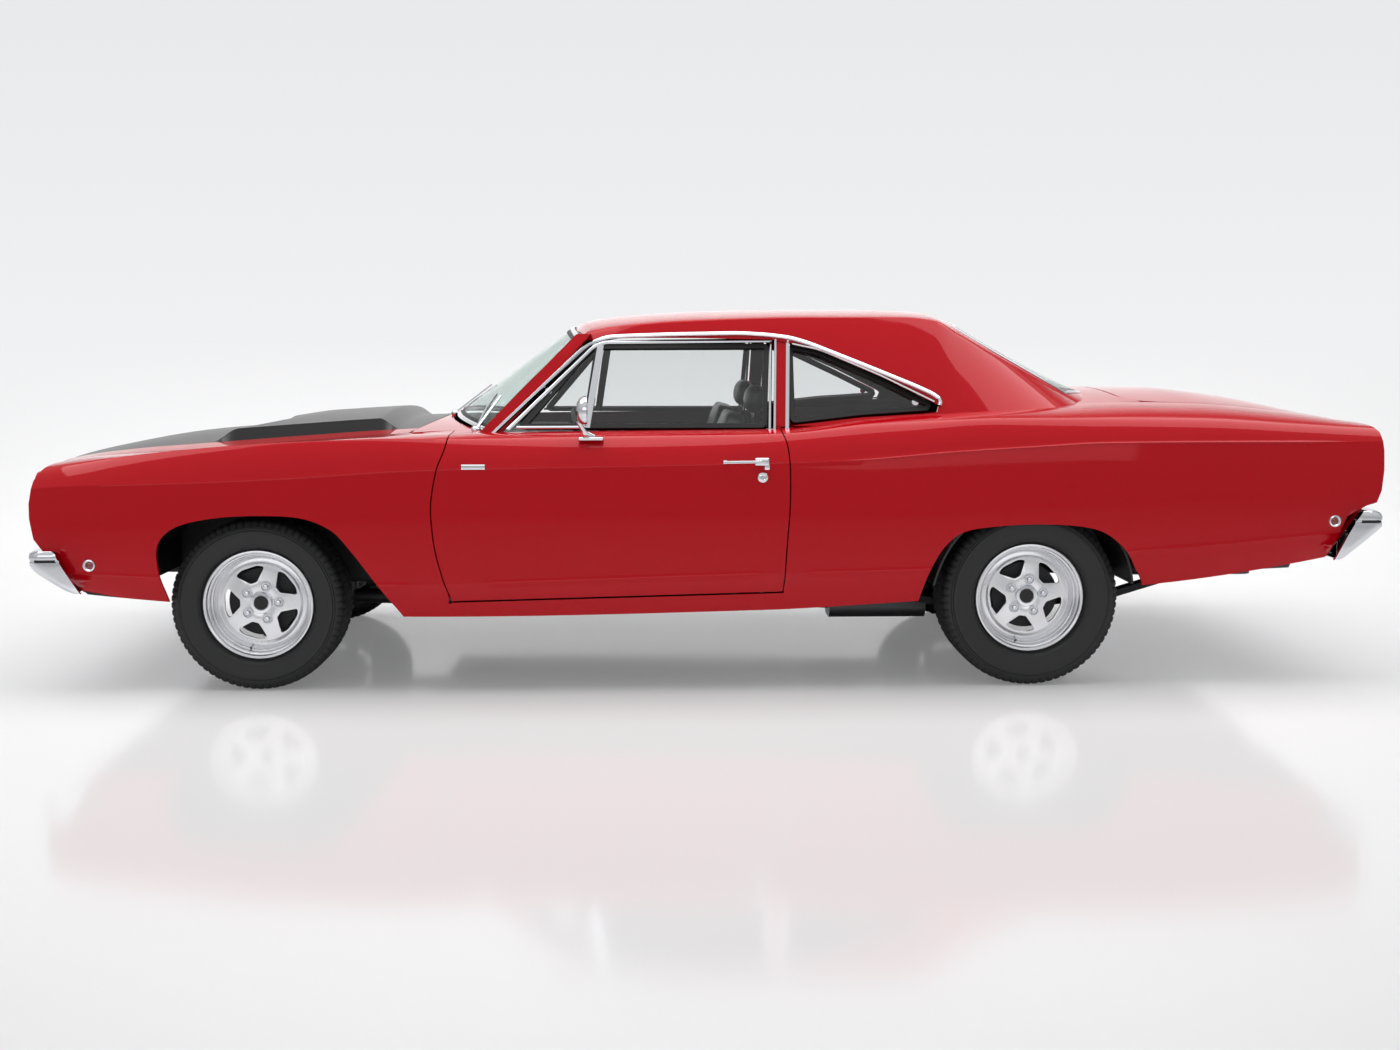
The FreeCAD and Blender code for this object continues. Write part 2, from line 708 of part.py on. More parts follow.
def make_door_glass():
    pane_outline = [(-500, 992), (-240, 1292), (-196, 1314), (pillar_top_x[0] - pillar_gap, 1314),
                    (pillar_base_x[0] - pillar_gap, 992)]
    opening = [(-446, 1004), (-218, 1270), (-190, 1292), (pillar_top_x[0] - pillar_gap - 22, 1292),
               (pillar_base_x[0] - pillar_gap - 22, 1004)]
    frame = leaning_pane(pane_outline, 24, 22)
    hole = leaning_pane(opening, 60, 40)
    bar_outline = [(-242, 992), (-214, 992), (-160, 1314), (-188, 1314)]
    bar = leaning_pane(bar_outline, 24, 22)
    foot = leaning_pane([(-470, 960), (-470, 994), (470, 994), (470, 960)], 24, 22)
    pane = leaning_pane([(-460, 998), (-220, 1280), (-195, 1300), (pillar_top_x[0] - pillar_gap - 12,
                        1300), (pillar_base_x[0] - pillar_gap - 12, 998)], glass, 30)
    return frame.cut(hole).fuse([bar, pane]).removeSplitter()


door_left = make_doors()
glass_left = make_door_glass()
glass_left = glass_left.cut(door_left)
save("door_left", door_left)
save("door_right", mirrored(door_left))
save("door_glass_left", glass_left)
save("door_glass_right", mirrored(glass_left))


def make_fender():
    rear = [(x - shut_gap, z) for x, z in door_front_line]
    zone = curve_prism(rear, [(-2400, 1100), (-2400, 200)], -1100, -hood_half_width - shut_gap)
    arch = curve_prism(front_arch, [(-1200, 150), (-1700, 150)], -1100, -600)
    fender = body.common(zone).cut(body_inner).common(nose_limit)
    return fender.cut(arch).cut(door_sweep(-1))


fender_left = make_fender()
save("fender_left", fender_left)
save("fender_right", mirrored(fender_left))


def lid_prism(grow):
    outline = [(lid_front_x - grow, -lid_half_width - grow), (lid_rear_x + grow, -lid_half_width - grow),
               (lid_rear_x + grow, lid_half_width + grow), (lid_front_x - grow, lid_half_width + grow)]
    block = prism_z(outline, 850, 1300)
    front_edges = [edge for edge in block.Edges
                   if abs(edge.CenterOfMass.x - lid_front_x + grow) < 1
                   and abs(edge.CenterOfMass.z - 1075) < 1]
    return block.makeFillet(lid_front_radius, front_edges)


def hood_prism(grow):
    outline = plan_outline(hood_front_x - grow, -hood_front_bow, hood_rear_x + grow, hood_rear_bow,
                           hood_half_width + grow, hood_half_width + grow)
    return prism_z(outline, 700, 1300)


def backlight_prism(grow):
    outline = plan_outline(backlight_top_x - grow, backlight_top_bow, backlight_base_x + grow,
                           backlight_base_bow, backlight_top_half + grow, backlight_base_half + grow)
    return prism_z(outline, 950, 1500)


def header_room():
    """Strip of the roof between its side seams and the top of the rear window."""
    return box(roof_seam_x - 1, backlight_top_x + backlight_top_bow + 60, -backlight_top_half,
               backlight_top_half, roof_low_z, 1600)


def make_quarter():
    front = [(x + shut_gap, z) for x, z in door_rear_line]
    front = [(519, 200), (519, 300)] + front
    zone = curve_prism(front, [(2900, 1100), (2900, 200)], -1100, -lid_half_width - shut_gap)
    arch = curve_prism(rear_arch, [(1500, 100)], -1100, -600)
    skin_part = body.common(zone).cut(body_inner).common(tail_limit).cut(arch)
    sail_zone = box(pillar_top_x[0], 1960, -900, -300, 940, 1500)
    sail_zone = sail_zone.cut(header_room())
    sail = cabin_top.cut(cabin_inner).common(sail_zone)
    sail = sail.cut(backlight_prism(0)).cut(box(0, roof_seam_x, -900, -300, roof_low_z, 1600))
    sail = sail.cut(window_prism(-1000, -300))
    sail = sail.cut(box(0, 2000, -900, -300, 800, 1000))
    return skin_part, sail


quarter_skin, sail = make_quarter()
quarter_left = quarter_skin.fuse(sail)
save("quarter_left", quarter_left)
save("quarter_right", mirrored(quarter_left))


def make_hood():
    slab = body.cut(under_lids).common(hood_prism(0))
    sections = []
    for x in [bulge_front_x - bulge_fade, bulge_front_x, bulge_front_x + 60,
              (bulge_front_x + bulge_rear_x) / 2, bulge_rear_x - 40, bulge_rear_x,
              bulge_rear_x + bulge_fade * 0.9]:
        edge_z = smooth(upper_edge_z, x)
        crown = smooth(centre_z, x) - edge_z
        inside = bulge_front_x <= x <= bulge_rear_x
        height = bulge_height if inside else -6.0
        foot_y = bulge_half_width if inside else bulge_half_width - 26
        foot_z = edge_z + 0.1 * crown - 12
        top_y = foot_y - bulge_flank
        top_z = edge_z + 0.16 * crown + height
        middle_z = edge_z + crown + height
        flank = (Vector(x, -foot_y, foot_z), Vector(x, -top_y, top_z))
        crest = [flank[1], Vector(x, -0.6 * top_y, top_z + 0.62 * (middle_z - top_z)),
                 Vector(x, -0.25 * top_y, middle_z), Vector(x, 0, middle_z)]
        crest_right = [Vector(p.x, -p.y, p.z) for p in reversed(crest)]
        edges = [Part.LineSegment(flank[0], flank[1]).toShape(), bezier(crest), bezier(crest_right),
                 Part.LineSegment(Vector(x, top_y, top_z), Vector(x, foot_y, foot_z)).toShape(),
                 Part.LineSegment(Vector(x, foot_y, foot_z), flank[0]).toShape()]
        sections.append(Part.Wire(edges))
    bulge = Part.makeLoft(sections, True, True)
    bulge = bulge.cut(body_solid(hood_skin * 0.5))
    hood = slab.fuse(bulge)
    cuts = []
    for i in range(scoop_slats):
        low = 0.16 + 0.72 * i / scoop_slats
        high = low + 0.72 / scoop_slats - scoop_slat_height / bulge_height
        front_base = smooth(upper_edge_z, scoop_front_x)
        rear_base = smooth(upper_edge_z, scoop_rear_x)
        outline = [(scoop_front_x, front_base + low * bulge_height),
                   (scoop_rear_x, rear_base + low * bulge_height),
                   (scoop_rear_x, rear_base + high * bulge_height),
                   (scoop_front_x, front_base + high * bulge_height)]
        depth = bulge_half_width - bulge_flank - scoop_depth
        cuts.append(prism_y(outline, -bulge_half_width - 10, -depth))
        cuts.append(prism_y(outline, depth, bulge_half_width + 10))
    return hood.cut(cuts)


hood = make_hood()
save("hood", hood)
trunk_lid = body.cut(under_lids).common(lid_prism(0)).common(tail_limit)
save("trunk_lid", trunk_lid)


def make_cowl_panels():
    """Panel ahead of the windshield and panel between the rear window and the trunk lid."""
    reach = hood_half_width + shut_gap - seat_gap
    ahead = box(-1100, cowl_rear_x, -reach, reach, 700, 1300)
    corners = box(cowl_corner_x, cowl_rear_x, -corner_half_width, corner_half_width, 900, 1300)
    front_zone = ahead.fuse(corners).cut(hood_prism(shut_gap)).common(screen_front_room())
    front_zone = front_zone.cut([box(-1200, -900, -900, 900, 600, 1400), fender_left,
                                 mirrored(fender_left)])
    rear_zone = box(1690, 1950, -lid_half_width, lid_half_width, 900, 1400).cut(lid_prism(shut_gap))
    body_shell = body.cut(body_inner)
    return body_shell.common(front_zone), body_shell.common(rear_zone).cut(roof_solid(-seat_gap))


def make_screen():
    wires = []
    lower, upper = screen_base, screen_top
    for t in (0.0, 0.5, 1.0):
        half, end_x, end_z, mid_x, mid_z = [a + (b - a) * t for a, b in zip(lower, upper)]
        swell = 10.0 * 4 * t * (1 - t)
        middle = Vector(mid_x - swell, 0, mid_z)
        left = Vector(end_x - swell, -half, end_z)
        right = Vector(end_x - swell, half, end_z)
        tilt = (middle - (left + right) * 0.5).normalize()
        inner_middle = middle - tilt * screen_thickness
        inner_left = left - tilt * screen_thickness
        inner_right = right - tilt * screen_thickness
        wires.append(Part.Wire([
            Part.Arc(left, middle, right).toShape(),
            Part.LineSegment(right, inner_right).toShape(),
            Part.Arc(inner_right, inner_middle, inner_left).toShape(),
            Part.LineSegment(inner_left, left).toShape()]))
    return Part.makeLoft(wires, True, False)


def screen_front_room():
    """Everything ahead of the windshield's outer face, for trimming the roof to it."""
    wires = []
    for t in (-0.3, 0.5, 1.4):
        half, end_x, end_z, mid_x, mid_z = [a + (b - a) * t for a, b in zip(screen_base, screen_top)]
        swell = 10.0 * 4 * t * (1 - t) if 0 <= t <= 1 else 0
        middle = Vector(mid_x - swell, 0, mid_z)
        left = Vector(end_x - swell, -half, end_z)
        right = Vector(end_x - swell, half, end_z)
        ahead = (middle - (left + right) * 0.5).normalize() * 700
        wires.append(Part.Wire([
            Part.Arc(left, middle, right).toShape(),
            Part.LineSegment(right, right + Y_DIR * 200).toShape(),
            Part.LineSegment(right + Y_DIR * 200, right + Y_DIR * 200 + ahead).toShape(),
            Part.LineSegment(right + Y_DIR * 200 + ahead, left - Y_DIR * 200 + ahead).toShape(),
            Part.LineSegment(left - Y_DIR * 200 + ahead, left - Y_DIR * 200).toShape(),
            Part.LineSegment(left - Y_DIR * 200, left).toShape()]))
    return Part.makeLoft(wires, True, False)


screen = make_screen()
save("windshield", screen)
cowl, deck_filler = make_cowl_panels()
save("cowl_panels", Part.makeCompound([cowl, deck_filler]))
roof_shell = cabin_top.cut(cabin_inner)
roof = roof_shell.common(box(-420, roof_seam_x, -900, 900, roof_low_z, 1600).fuse(header_room()))
roof = roof.cut([window_prism(-1000, 1000), backlight_prism(0), screen_front_room(), screen])
roof = largest(roof)
save("roof", roof)
seal_outline = [(545, 1002), (554, 1330), (682, 1322), (935, 1214), (1150, 1082), (1128, 1034),
                (826, 1016)]
pane_outline = [(560, 1020), (556, 1304), (664, 1284), (898, 1176), (1090, 1082), (1080, 1066),
                (826, 1052)]
pane = leaning_pane(pane_outline, glass, 30)
seal = leaning_pane(seal_outline, 26, 10).cut([pane, quarter_left, roof])
seal = largest(seal.cut(leaning_pane([(x + (6 if x < 700 else -6), z + (6 if z < 1100 else -6))
                                      for x, z in pane_outline], 60, 0)))
side_window = pane.fuse(seal).removeSplitter()
rear_pane = cabin_top.cut(glass_inner).common(backlight_prism(-seat_gap))
save("rear_glass", Part.makeCompound([rear_pane, side_window, mirrored(side_window)]))


def bar_between(base, top):
    """Straight tapered bar from a base rectangle to a top one: x0, x1, y0, y1 and z."""
    wires = []
    for x0, x1, y0, y1, z in (base, top):
        points = [Vector(x0, -y0, z), Vector(x1, -y0, z), Vector(x1, -y1, z), Vector(x0, -y1, z)]
        wires.append(Part.makePolygon(points + [points[0]]))
    return Part.makeLoft(wires, True, True)


def sill_outline(grow):
    """Side outline of the rocker, its ends and its top edge moved outwards."""
    join = shut_gap - seat_gap + grow
    top_z = door_sill_front_z - sill_top_drop + grow
    outline = [(x - join, z) for x, z in door_front_line if z < top_z]
    outline.append((shut_x(door_front_line, top_z) - join, top_z))
    outline += [(door_rear_line[0][0] + join, door_sill_rear_z - sill_top_drop + grow),
                (door_rear_line[0][0] + join, door_front_line[0][1])]
    return outline


def make_pillars():
    x0, x1, y0, y1, z0, z1 = hinge_pillar
    front = bar_between(a_pillar_base, a_pillar_top)
    sill_room = prism_y(sill_outline(seat_gap), -1100, -sill_inner + seat_gap)
    front = front.fuse(box(x0, x1, -y1, -y0, z0, z1))
    front = front.cut([screen, roof, cowl, fender_left, sill_room])
    centre = bar_between((pillar_base_x[0], pillar_base_x[1], 778, 818, 960),
                         (pillar_top_x[0], pillar_top_x[1], 640, 676, 1332))
    foot = box(pillar_base_x[0] + 8, post_x[1], -door_top_line + shut_gap, -765, 930, 1000)
    post = box(post_x[0], post_x[1], -post_y[1], -post_y[0], 420, 985)
    centre = centre.fuse([foot, post]).cut([roof, door_blank(shut_gap + 3).cut(door_room()),
                                            quarter_left])
    return largest(front), largest(centre)


front_pillar, centre_pillar = make_pillars()
save("pillars", Part.makeCompound([both(front_pillar), both(centre_pillar)]))


def make_rockers():
    """Sill below each door, its outer face part of the body side."""
    sill = body.common(prism_y(sill_outline(0), -1100, -sill_inner))
    return sill.cut([fender_left, quarter_left]).fuse(hinge_pin(0))


save("rockers", both(make_rockers()))


def rounded_frame(y_half, z_low, z_high, rim, corner, x0, x1):
    outer = [(-y_half, z_low), (y_half, z_low), (y_half, z_high), (-y_half, z_high)]
    inner = [(-y_half + rim, z_low + rim * 0.7), (y_half - rim, z_low + rim * 0.7),
             (y_half - rim, z_high - rim), (-y_half + rim, z_high - rim)]
    return prism_x(outer, x0, x1, corner).cut(prism_x(inner, x0 - 10, x1 + 10, corner * 0.7))


def make_nose_panel():
    surround = rounded_frame(surround_half_width, surround_z[0], surround_z[1], surround_rim,
                             surround_corner, surround_x[0], surround_x[1])
    reach = hood_half_width + shut_gap - seat_gap
    header = body.common(nose_limit).common(box(-2340, hood_front_x, -reach, reach, header_low_z, 1000))
    surround = surround.common(body_room).fuse(header.cut(hood_prism(shut_gap)))
    valance = prism_y(offset_line(valance_line, valance_skin), -valance_half_width, valance_half_width)
    return largest(surround), valance.common(body_room)


nose_surround, front_valance = make_nose_panel()
save("nose_panel", Part.makeCompound([nose_surround, front_valance]))


def make_grille():
    half = surround_half_width - surround_rim - seat_gap
    low = surround_z[0] + surround_rim * 0.7 + seat_gap
    high = surround_z[1] - surround_rim - seat_gap
    frame = prism_x([(-half, low), (half, low), (half, high), (-half, high)], grille_x[0], grille_x[1],
                    surround_corner * 0.7)
    inside = prism_x([(-half + 12, low + 12), (half - 12, low + 12), (half - 12, high - 12),
                      (-half + 12, high - 12)], grille_x[0] - 5, grille_x[1] + 5, surround_corner * 0.5)
    bars = []
    pitch = (high - low) / (grille_bars + 1)
    for i in range(grille_bars):
        z = low + pitch * (i + 1)
        bars.append(box(grille_x[0] + 4, grille_x[1] - 4, -lamp_plate_y - 6, lamp_plate_y + 6,
                        z - grille_bar / 2, z + grille_bar / 2))
    for side in (-1, 1):
        y0, y1 = sorted((side * lamp_plate_y, side * (half - 6)))
        bars.append(box(grille_x[0] + 8, grille_x[1] - 8, y0, y1, low + 6, high - 6))
    for i in range(grille_posts):
        y = -lamp_plate_y + 2 * lamp_plate_y * (i + 0.5) / grille_posts
        bars.append(box(grille_x[0] + 8, grille_x[1] - 2, y - 5, y + 5, low + 6, high - 6))
    cores = []
    for y in headlamp_y:
        for side in (-1, 1):
            cores.append(Part.makeCylinder(headlamp_radius + headlamp_ring + seat_gap, 200,
                                           Vector(grille_x[0] - 80, side * y, headlamp_z), X_DIR))
    return frame.cut(inside).fuse(bars).cut(cores + [nose_surround]).removeSplitter()


save("grille", make_grille())


def make_headlamp(y):
    """Sealed lamp: a domed lens in a round bezel."""
    outer = headlamp_radius + headlamp_ring
    x0, x1 = headlamp_x
    rim_x = x0 + 18
    bowl = Part.makeCone(headlamp_radius, outer, x1 - rim_x, Vector(x1, y, headlamp_z), -X_DIR)
    bezel = Part.makeCone(outer, outer - 3, rim_x - x0, Vector(rim_x, y, headlamp_z), -X_DIR)
    sphere = Part.makeSphere(lens_radius, Vector(x0 - lens_bulge + lens_radius, y, headlamp_z))
    lens = sphere.common(Part.makeCylinder(headlamp_radius, 60, Vector(x0 - 30, y, headlamp_z), X_DIR))
    return bowl.fuse([bezel, lens]).removeSplitter()


save("headlamps", Part.makeCompound([both(make_headlamp(y)) for y in headlamp_y]))


def band_edges(nose_x, end_x, facing, inset):
    """Plan line of a bumper from its left end round the front to its right end."""
    half = bumper_half_width - inset
    front = nose_x - facing * inset
    corner = bumper_corner - inset
    corner_x = front - facing * (bumper_bow + corner)
    turn = corner * math.sqrt(0.5)
    start = Vector(end_x, -half, 0)
    end = Vector(corner_x, -half, 0)
    middle = Vector(corner_x + facing * turn, -half + corner - turn, 0)
    arc_end = Vector(front - facing * bumper_bow, -half + corner, 0)
    flip = [Vector(point.x, -point.y, 0) for point in (start, end, middle, arc_end)]
    edges = [Part.LineSegment(start, end), Part.Arc(end, middle, arc_end),
             Part.Arc(arc_end, Vector(front, 0, 0), flip[3]), Part.Arc(flip[3], flip[2], flip[1]),
             Part.LineSegment(flip[1], flip[0])]
    return [edge.toShape() for edge in edges], start, flip[0]


def bumper_band(nose_x, end_x, facing):
    """Plan band of a bumper: across the car with a small bow, round the corners to the sides."""
    outer, outer_start, outer_end = band_edges(nose_x, end_x, facing, 0)
    inner, inner_start, inner_end = band_edges(nose_x, end_x, facing, bumper_wall)
    ends = [Part.LineSegment(outer_end, inner_end).toShape(),
            Part.LineSegment(inner_start, outer_start).toShape()]
    face = Part.Face(Part.Wire(Part.__sortEdges__(outer + inner + ends)))
    face.translate(Vector(0, 0, 350))
    return face.extrude(Vector(0, 0, 360))


def make_bumper(outline, nose_x, end_x, facing):
    return prism_y(outline, -1000, 1000, 14).common(bumper_band(nose_x, end_x, facing))


front_bumper = make_bumper(front_bumper_outline, front_bumper_nose_x, front_bumper_end_x, -1)
front_bumper = front_bumper.cut(body_outside.common(nose_limit))
front_bumper = front_bumper.fuse(both(box(*front_bracket))).cut([nose_surround, front_valance])
save("front_bumper", largest(front_bumper))
rear_bumper = make_bumper(rear_bumper_outline, rear_bumper_nose_x, rear_bumper_end_x, 1)
rear_bumper = largest(rear_bumper.cut(body_outside.common(tail_limit)))


def make_tail():
    panel = body_room.common(box(tail_panel_x[0], tail_panel_x[1], -tail_panel_half_width,
                                 tail_panel_half_width, tail_panel_z[0], 1100))
    pockets = []
    for side in (-1, 1):
        outline = [(side * tail_lamp_y[0], tail_lamp_z[0]), (side * tail_lamp_y[1], tail_lamp_z[0]),
                   (side * tail_lamp_y[1], tail_lamp_z[1]), (side * tail_lamp_y[0], tail_lamp_z[1])]
        pockets.append(prism_x(outline, tail_panel_x[1] - tail_lamp_depth, tail_panel_x[1] + 20,
                               tail_lamp_corner))
    for side in (-1, 1):
        start = Vector(tail_panel_x[0] - 20, side * plate_spacing / 2, plate_z)
        pockets.append(Part.makeCylinder(plate_hole_radius, 100, start, X_DIR))
    panel = panel.cut(pockets).cut(lid_prism(shut_gap + lid_rear_room))
    ledge_x, ledge_half = lid_ledge
    ledge = box(ledge_x, tail_panel_x[0] + 12, -ledge_half, ledge_half, 930, 1100)
    panel = panel.fuse(ledge.common(under_rests))
    valance = prism_y(offset_line(rear_valance_line[::-1], valance_skin), -valance_half_width,
                      valance_half_width)
    return panel, valance.common(body_room).cut(rear_bumper)


tail_panel, rear_valance = make_tail()
save("tail_panel", Part.makeCompound([tail_panel, rear_valance]))
rear_bumper = rear_bumper.fuse(both(box(*rear_bracket))).cut([tail_panel, rear_valance])
save("rear_bumper", largest(rear_bumper))


def make_tail_lamps():
    lamps = []
    for side in (-1, 1):
        y0 = side * (tail_lamp_y[0] + seat_gap)
        y1 = side * (tail_lamp_y[1] - seat_gap)
        outline = [(y0, tail_lamp_z[0] + seat_gap), (y1, tail_lamp_z[0] + seat_gap),
                   (y1, tail_lamp_z[1] - seat_gap), (y0, tail_lamp_z[1] - seat_gap)]
        lamps.append(prism_x(outline, tail_panel_x[1] - tail_lamp_depth + seat_gap,
                             tail_panel_x[1] + 6, tail_lamp_corner))
        for x, z in (marker_front, marker_rear):
            half = smooth(half_width, x)
            lens = cylinder_y(x, z, marker_radius, half - 12, half + marker_proud)
            lens = largest(lens.cut(body))
            lamps.append(mirrored(lens) if side < 0 else lens)
    return Part.makeCompound(lamps)


save("tail_lamps", make_tail_lamps())


def make_dashboard():
    x0, x1 = dash_x
    outline = [(x0, dash_z[0]), (x1 - 60, dash_z[0]), (x1, dash_z[0] + 90), (x1, dash_z[1] - 30),
               (x1 - 40, dash_z[1]), (x0, dash_z[1])]
    return prism_y(outline, -dash_half_width, dash_half_width, 18)


dashboard = make_dashboard()
save("dashboard", dashboard)


def floor_top(x):
    """Height of the cabin floor at x."""
    rows = [point for point in floor_line if point[0] > -700]
    for a, b in zip(rows, rows[1:]):
        if a[0] <= x <= b[0]:
            return a[1] + (b[1] - a[1]) * (x - a[0]) / (b[0] - a[0])
    return rows[-1][1]


def make_floor():
    sheet = prism_y(offset_line(floor_line, floor_sheet), -floor_half_width, floor_half_width)
    narrow = box(floor_rear_x, 2700, -1000, -floor_rear_half_width, 200, 700)
    sheet = sheet.cut([narrow, mirrored(narrow)])
    tunnel_outer = [(-tunnel_half_width, floor_z), (-tunnel_half_width + 45, floor_z + tunnel_height),
                    (tunnel_half_width - 45, floor_z + tunnel_height), (tunnel_half_width, floor_z)]
    tunnel_inner = [(y * (1 - tunnel_sheet / tunnel_half_width), z - tunnel_sheet)
                    for y, z in tunnel_outer]
    x0, x1 = tunnel_x
    tunnel = prism_x(tunnel_outer, x0, x1, 40).cut(prism_x(tunnel_inner, x0 - 5, x1 + 5, 34))
    slot = box(x0, x1, -tunnel_half_width + tunnel_sheet, tunnel_half_width - tunnel_sheet, 200, 480)
    front_rail = box(front_rail_x[0], front_rail_x[1], front_rail_y[0], front_rail_y[1],
                     front_rail_z[0], front_rail_z[1])
    rear_rail = box(rear_rail_x[0], rear_rail_x[1], rear_rail_y[0], rear_rail_y[1], rear_rail_z[0],
                    rear_rail_z[1])
    radiator = box(radiator_x[0], radiator_x[1], -radiator_half_width, radiator_half_width,
                   radiator_z[0], radiator_z[1])
    post_x, post_y, post_radius = bump_post
    post = Part.makeCylinder(post_radius, 200, Vector(post_x, post_y, radiator_z[1] - 10), Z_DIR)
    pan = sheet.common(body_room).cut(slot)
    pan = pan.fuse([tunnel, both(front_rail), both(rear_rail), radiator, both(post.common(under_rests))])
    return pan.cut([cowl, dashboard])


floor_pan = make_floor()
save("floor_pan", floor_pan)


def make_rim(width, turn):
    """Rim about the Y axis at the origin, its outer face towards -Y."""
    half = width / 2
    flange, barrel = rim_flange_radius, rim_barrel_radius
    profile = [(flange, -half), (flange, -half + 8), (barrel, -half + 14), (barrel, half - 14),
               (flange, half - 8), (flange, half), (flange - rim_wall, half),
               (barrel - rim_wall, half - 16), (barrel - rim_wall, -half + 18),
               (flange - rim_wall, -half)]
    ring = turned_y(profile, 0, 0)
    face_y = -half + spoke_plane
    rim_y = face_y - spoke_rim_drop
    star_profile = [(barrel - rim_wall + 1, rim_y), (hub_radius, face_y - spoke_hub_rise),
                    (0, face_y - spoke_hub_rise), (0, face_y + spoke_thickness),
                    (hub_radius, face_y + spoke_thickness),
                    (barrel - rim_wall + 1, rim_y + spoke_thickness)]
    star = turned_y(star_profile, 0, 0)
    windows = []
    for i in range(spoke_count):
        angle = turn + 360.0 * i / spoke_count
        outline = [(-window_inner_half, window_inner), (window_inner_half, window_inner),
                   (window_outer_half, window_outer), (-window_outer_half, window_outer)]
        cut = prism_y(outline, -half, half, window_corner)
        cut.rotate(ORIGIN, Y_DIR, angle)
        windows.append(cut)
    star = star.cut(windows)
    studs = []
    for i in range(spoke_count):
        angle = math.radians(turn + 360.0 * (i + 0.5) / spoke_count)
        x, z = lug_circle / 2 * math.sin(angle), lug_circle / 2 * math.cos(angle)
        studs.append(cylinder_y(x, z, lug_radius, face_y - spoke_hub_rise - lug_length,
                                face_y - spoke_hub_rise + 2))
    cap = cylinder_y(0, 0, cap_radius, face_y - spoke_hub_rise - cap_length,
                     face_y - spoke_hub_rise + 2)
    bore = cylinder_y(0, 0, hub_bore, face_y + spoke_thickness - 8, face_y + spoke_thickness + 2)
    return ring.fuse([star, cap] + studs).cut(bore).removeSplitter()


def make_tyre(radius, width, rim_width):
    """Tyre about the Y axis at the origin, seated between the flanges of its rim."""
    half = width / 2
    bead = rim_width / 2 - 14.4
    inner = rim_barrel_radius + seat_gap
    side = [(inner, bead), (rim_flange_radius + 4, bead + 2), (rim_flange_radius + 18, half - 8),
            ((rim_flange_radius + radius) / 2 + 6, half), (radius - 22, half - 5),
            (radius - 5, half - 20), (radius, half - 40)]
    return turned_y(side + [(r, -y) for r, y in reversed(side)], 0, 0)


def place_wheels():
    corners = [("front", front_axle, front_track, front_tyre_radius, front_tyre_width,
                front_rim_width),
               ("rear", rear_axle_x, rear_track, rear_tyre_radius, rear_tyre_width, rear_rim_width)]
    for end, x, track, radius, width, rim_width in corners:
        rim = make_rim(rim_width, window_turn[end])
        tyre = make_tyre(radius, width, rim_width)
        for piece, name in ((rim, "rim"), (tyre, "tyre")):
            left = piece.copy()
            left.translate(Vector(x, -track / 2, radius))
            save(name + "_" + end + "_left", left)
            save(name + "_" + end + "_right", mirrored(left))


place_wheels()


def king_pin(grow):
    """Pin through both arms that the left upright turns on."""
    reach = knuckle_half_height + arm_thickness - 4
    foot = Vector(front_axle, -kingpin_y, front_tyre_radius - reach)
    return Part.makeCylinder(king_pin_radius + grow, 2 * reach, foot, Z_DIR)


def make_knuckle():
    """Front upright with its drum and the stub that carries the wheel, left side."""
    track_y = front_track / 2
    face_y = track_y + front_rim_width / 2 - spoke_plane - spoke_thickness
    y_drum = -face_y + 1.0
    drum = cylinder_y(front_axle, front_tyre_radius, drum_radius, y_drum, y_drum + drum_width)
    hub = cylinder_y(front_axle, front_tyre_radius, hub_bore - rim_bore_gap, y_drum - 8.7, y_drum)
    inner_y = -kingpin_y
    upright = box(front_axle - knuckle_thickness, front_axle + knuckle_thickness, inner_y - 22,
                  inner_y + 22, front_tyre_radius - knuckle_half_height,
                  front_tyre_radius + knuckle_half_height)
    stub = cylinder_y(front_axle, front_tyre_radius, 40, min(y_drum + 20, inner_y),
                      max(inner_y, y_drum + drum_width))
    arm = box(front_axle, front_axle + 118, inner_y - 15, inner_y + 15, front_tyre_radius - 110,
              front_tyre_radius - 85)
    return drum.fuse([hub, upright, stub, arm, king_pin(0)]).removeSplitter()


knuckle_left = make_knuckle()
save("knuckle_left", knuckle_left)
save("knuckle_right", mirrored(knuckle_left))


def make_front_suspension():
    """Crossmember, lower and upper arms and ball pins under and beside the engine."""
    low_z = front_tyre_radius - knuckle_half_height
    high_z = front_tyre_radius + knuckle_half_height
    member = box(front_axle - crossmember_size[0] / 2, front_axle + crossmember_size[0] / 2,
                 -crossmember_half_width, crossmember_half_width, crossmember_z[0], crossmember_z[1])
    parts = [member]
    for z, drop in ((low_z, -1), (high_z, 1)):
        level = z + drop * (arm_thickness / 2 + seat_gap)
        root_y = -crossmember_half_width + 20
        outline = [(front_axle - 120, root_y), (front_axle + 120, root_y),
                   (front_axle + arm_width / 2, -kingpin_y - 24),
                   (front_axle - arm_width / 2, -kingpin_y - 24)]
        arm = prism_z(outline, level - arm_thickness / 2, level + arm_thickness / 2, 12)
        arm = arm.cut(king_pin(seat_gap))
        parts.append(arm)
        parts.append(mirrored(arm))
    leg_y = (-front_rail_y[0] + seat_gap, -engine_half_width + 10)
    for low, high in ((crossmember_z[1] - 10, high_z + 30), (low_z - 25, crossmember_z[0] + 10)):
        leg = box(front_axle - 60, front_axle + 60, leg_y[0], leg_y[1], low, high)
        parts += [leg, mirrored(leg)]
    return parts[0].fuse(parts[1:]).removeSplitter()


front_suspension = make_front_suspension()


